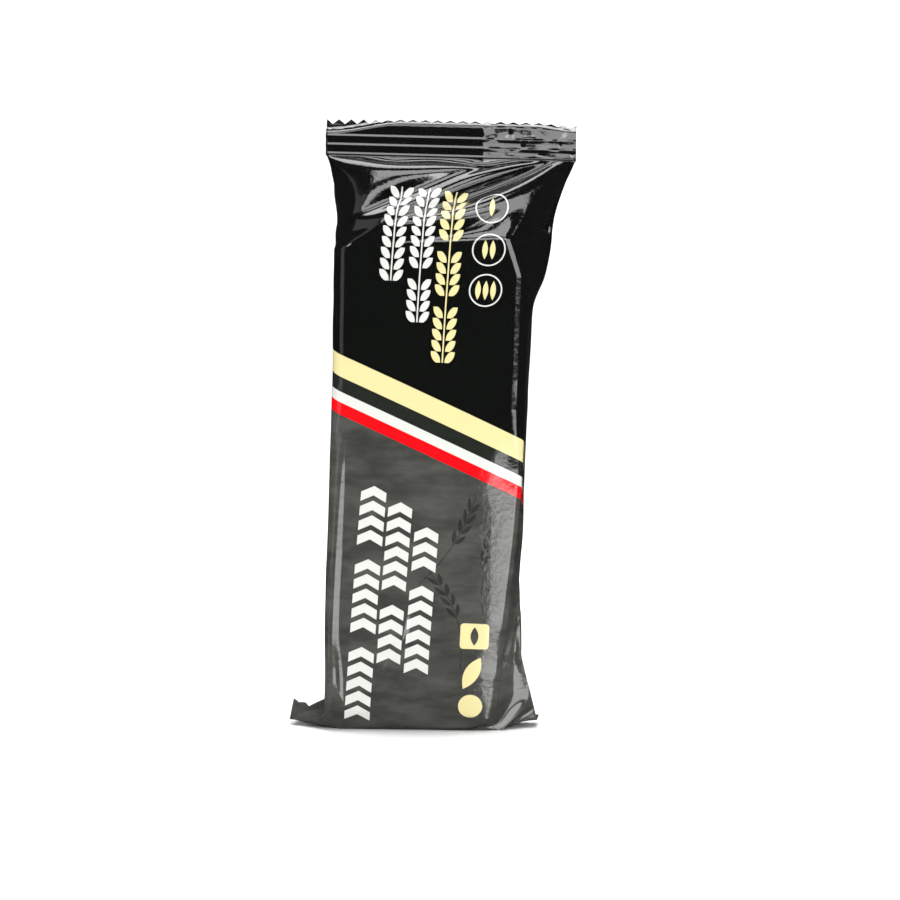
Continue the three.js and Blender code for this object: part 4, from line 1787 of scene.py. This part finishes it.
@dataclass(frozen=True)
class Studio:
    """The pale floor, the soft lights and the camera.

    Attributes:
        radius: The floor's radius with its wall, in metres.
        rise: The wall's height.
        bend: The radius of the bend between them.
        bend_steps: In how many steps the floor bends.
        flat_steps: In how many steps it goes out to the bend.
        turns: How many sides it has.
        floor_grey: How pale it is.
        floor_roughness: How rough it is.
        surroundings: How bright the surroundings are.
        azimuth: How far to the right the camera stands, in radians.
        elevation: How far it looks down, in radians.
        distance: From the camera to what it looks at, in metres.
        seen: The width that it sees there.
        centre: What it looks at.
        sensor: The width of its sensor, in millimetres.
        clip: The nearest and farthest that it sees, in metres.
        lamps: The lights.
    """

    radius: float = 1.05
    rise: float = 0.6
    bend: float = 0.25
    bend_steps: int = 12
    flat_steps: int = 3
    turns: int = 96
    floor_grey: float = 0.86
    floor_roughness: float = 0.7
    surroundings: float = 0.015
    azimuth: float = math.radians(4)
    elevation: float = math.radians(4.5)
    distance: float = 0.9
    seen: float = 0.209
    centre: tuple[float, float, float] = (0.0043, 0.0, 0.0647)
    sensor: float = 36
    clip: Span = (0.01, 20)
    lamps: tuple[Lamp, ...] = (
        Lamp("key", (-0.05, -0.55, 0.72), (0, 0, 0.12), (0.62, 0.36), 3.2),
        Lamp("low_front", (-0.05, -0.85, 0.42), (0, 0, 0.12), (0.62, 0.22), 3.2),
        Lamp("right_front", (0.39, -0.70, 0.26), (0, 0, 0.07), (0.52, 0.40), 2.8),
        Lamp("right_low", (0.39, -0.72, -0.08), (0, 0, -0.06), (0.52, 0.13), 2.8),
        Lamp("left_front", (-0.52, -0.55, 0.22), (0, 0, 0.07), (0.4, 0.5), 0.4),
        Lamp("top", (0.0, 0.15, 0.70), (0, 0.05, 0.1), (0.8, 0.5), 4.0),
        Lamp("backdrop", (0.0, 0.15, 0.95), (0, 0.8, 0.1), (1.0, 0.4), 9.0, False),
    )

    def profile(self) -> list[Span]:
        """The floor's section from near its middle to the wall's top: distances and heights."""
        flat = self.radius - self.bend
        made = [(flat * k / self.flat_steps, 0.0) for k in range(1, self.flat_steps + 1)]
        for k in range(1, self.bend_steps + 1):
            turn = math.pi / 2 * k / self.bend_steps
            made.append((flat + self.bend * math.sin(turn), self.bend * (1 - math.cos(turn))))
        made.append((self.radius, self.rise))
        return made

    def floor(self) -> None:
        """Makes the round floor, which bends up into a wall all round.

        The film doesn't mirror it, because the room was darker, and it holds back no lamp.
        """
        profile = self.profile()
        verts = [(0.0, 0.0, 0.0)]
        for far, high in profile:
            for k in range(self.turns):
                turn = 2 * math.pi * k / self.turns
                verts.append((far * math.cos(turn), far * math.sin(turn), high))
        faces: list[tuple[int, ...]] = []
        for k in range(self.turns):
            after = (k + 1) % self.turns
            faces.append((0, 1 + k, 1 + after))
            for ring in range(len(profile) - 1):
                inner, outer = 1 + ring * self.turns, 1 + (ring + 1) * self.turns
                faces.append((inner + k, outer + k, outer + after, inner + after))
        mesh = bpy.data.meshes.new("floor")
        mesh.from_pydata(verts, [], faces)
        mesh.shade_smooth()
        made = bpy.data.objects.new("floor", mesh)
        made.visible_glossy = False
        made.visible_shadow = False
        bpy.context.scene.collection.objects.link(made)
        shader = Shader("pale_floor")
        shader.surface(Base_Color=(self.floor_grey,) * 3, Roughness=self.floor_roughness)
        mesh.materials.append(shader.material)
        made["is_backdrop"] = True

    def camera(self) -> None:
        """The camera, at the photograph's angle and framing."""
        back = Vector((
            math.sin(self.azimuth) * math.cos(self.elevation),
            -math.cos(self.azimuth) * math.cos(self.elevation),
            math.sin(self.elevation),
        ))
        data = bpy.data.cameras.new("camera")
        data.sensor_width = self.sensor
        data.lens = self.sensor * self.distance / self.seen
        data.clip_start, data.clip_end = self.clip
        made = bpy.data.objects.new("camera", data)
        made.location = Vector(self.centre) + back * self.distance
        made.rotation_euler = (-back).to_track_quat("-Z", "Y").to_euler()
        bpy.context.scene.collection.objects.link(made)
        bpy.context.scene.camera = made

    def build(self) -> None:
        """Makes the floor, the lights, the dim surroundings and the camera."""
        self.floor()
        for lamp in self.lamps:
            lamp.build()
        world = bpy.data.worlds.new("room")
        world.use_nodes = True
        background = world.node_tree.nodes["Background"]
        background.inputs["Color"].default_value = (1, 1, 1, 1)
        background.inputs["Strength"].default_value = self.surroundings
        bpy.context.scene.world = world
        bpy.context.scene.view_settings.view_transform = "Standard"
        self.camera()


def main() -> None:
    """Builds the pack, dresses it, and sets the studio round it."""
    logging.basicConfig(level=logging.INFO, format="%(message)s")
    pack = FlowPack().build()
    pack.data.materials.append(GlossyFilm().material())
    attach(pack, "root")
    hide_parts("flow_pack")
    LOG.info("%s: %d points", pack.name, len(pack.data.vertices))
    Studio().build()
    bpy.context.view_layer.update()
    boxes = {"cad": cad_box, "visual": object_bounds()}
    {name: [list(corner) for corner in box] for name, box in boxes.items()}


if __name__ == "__main__":
    main()
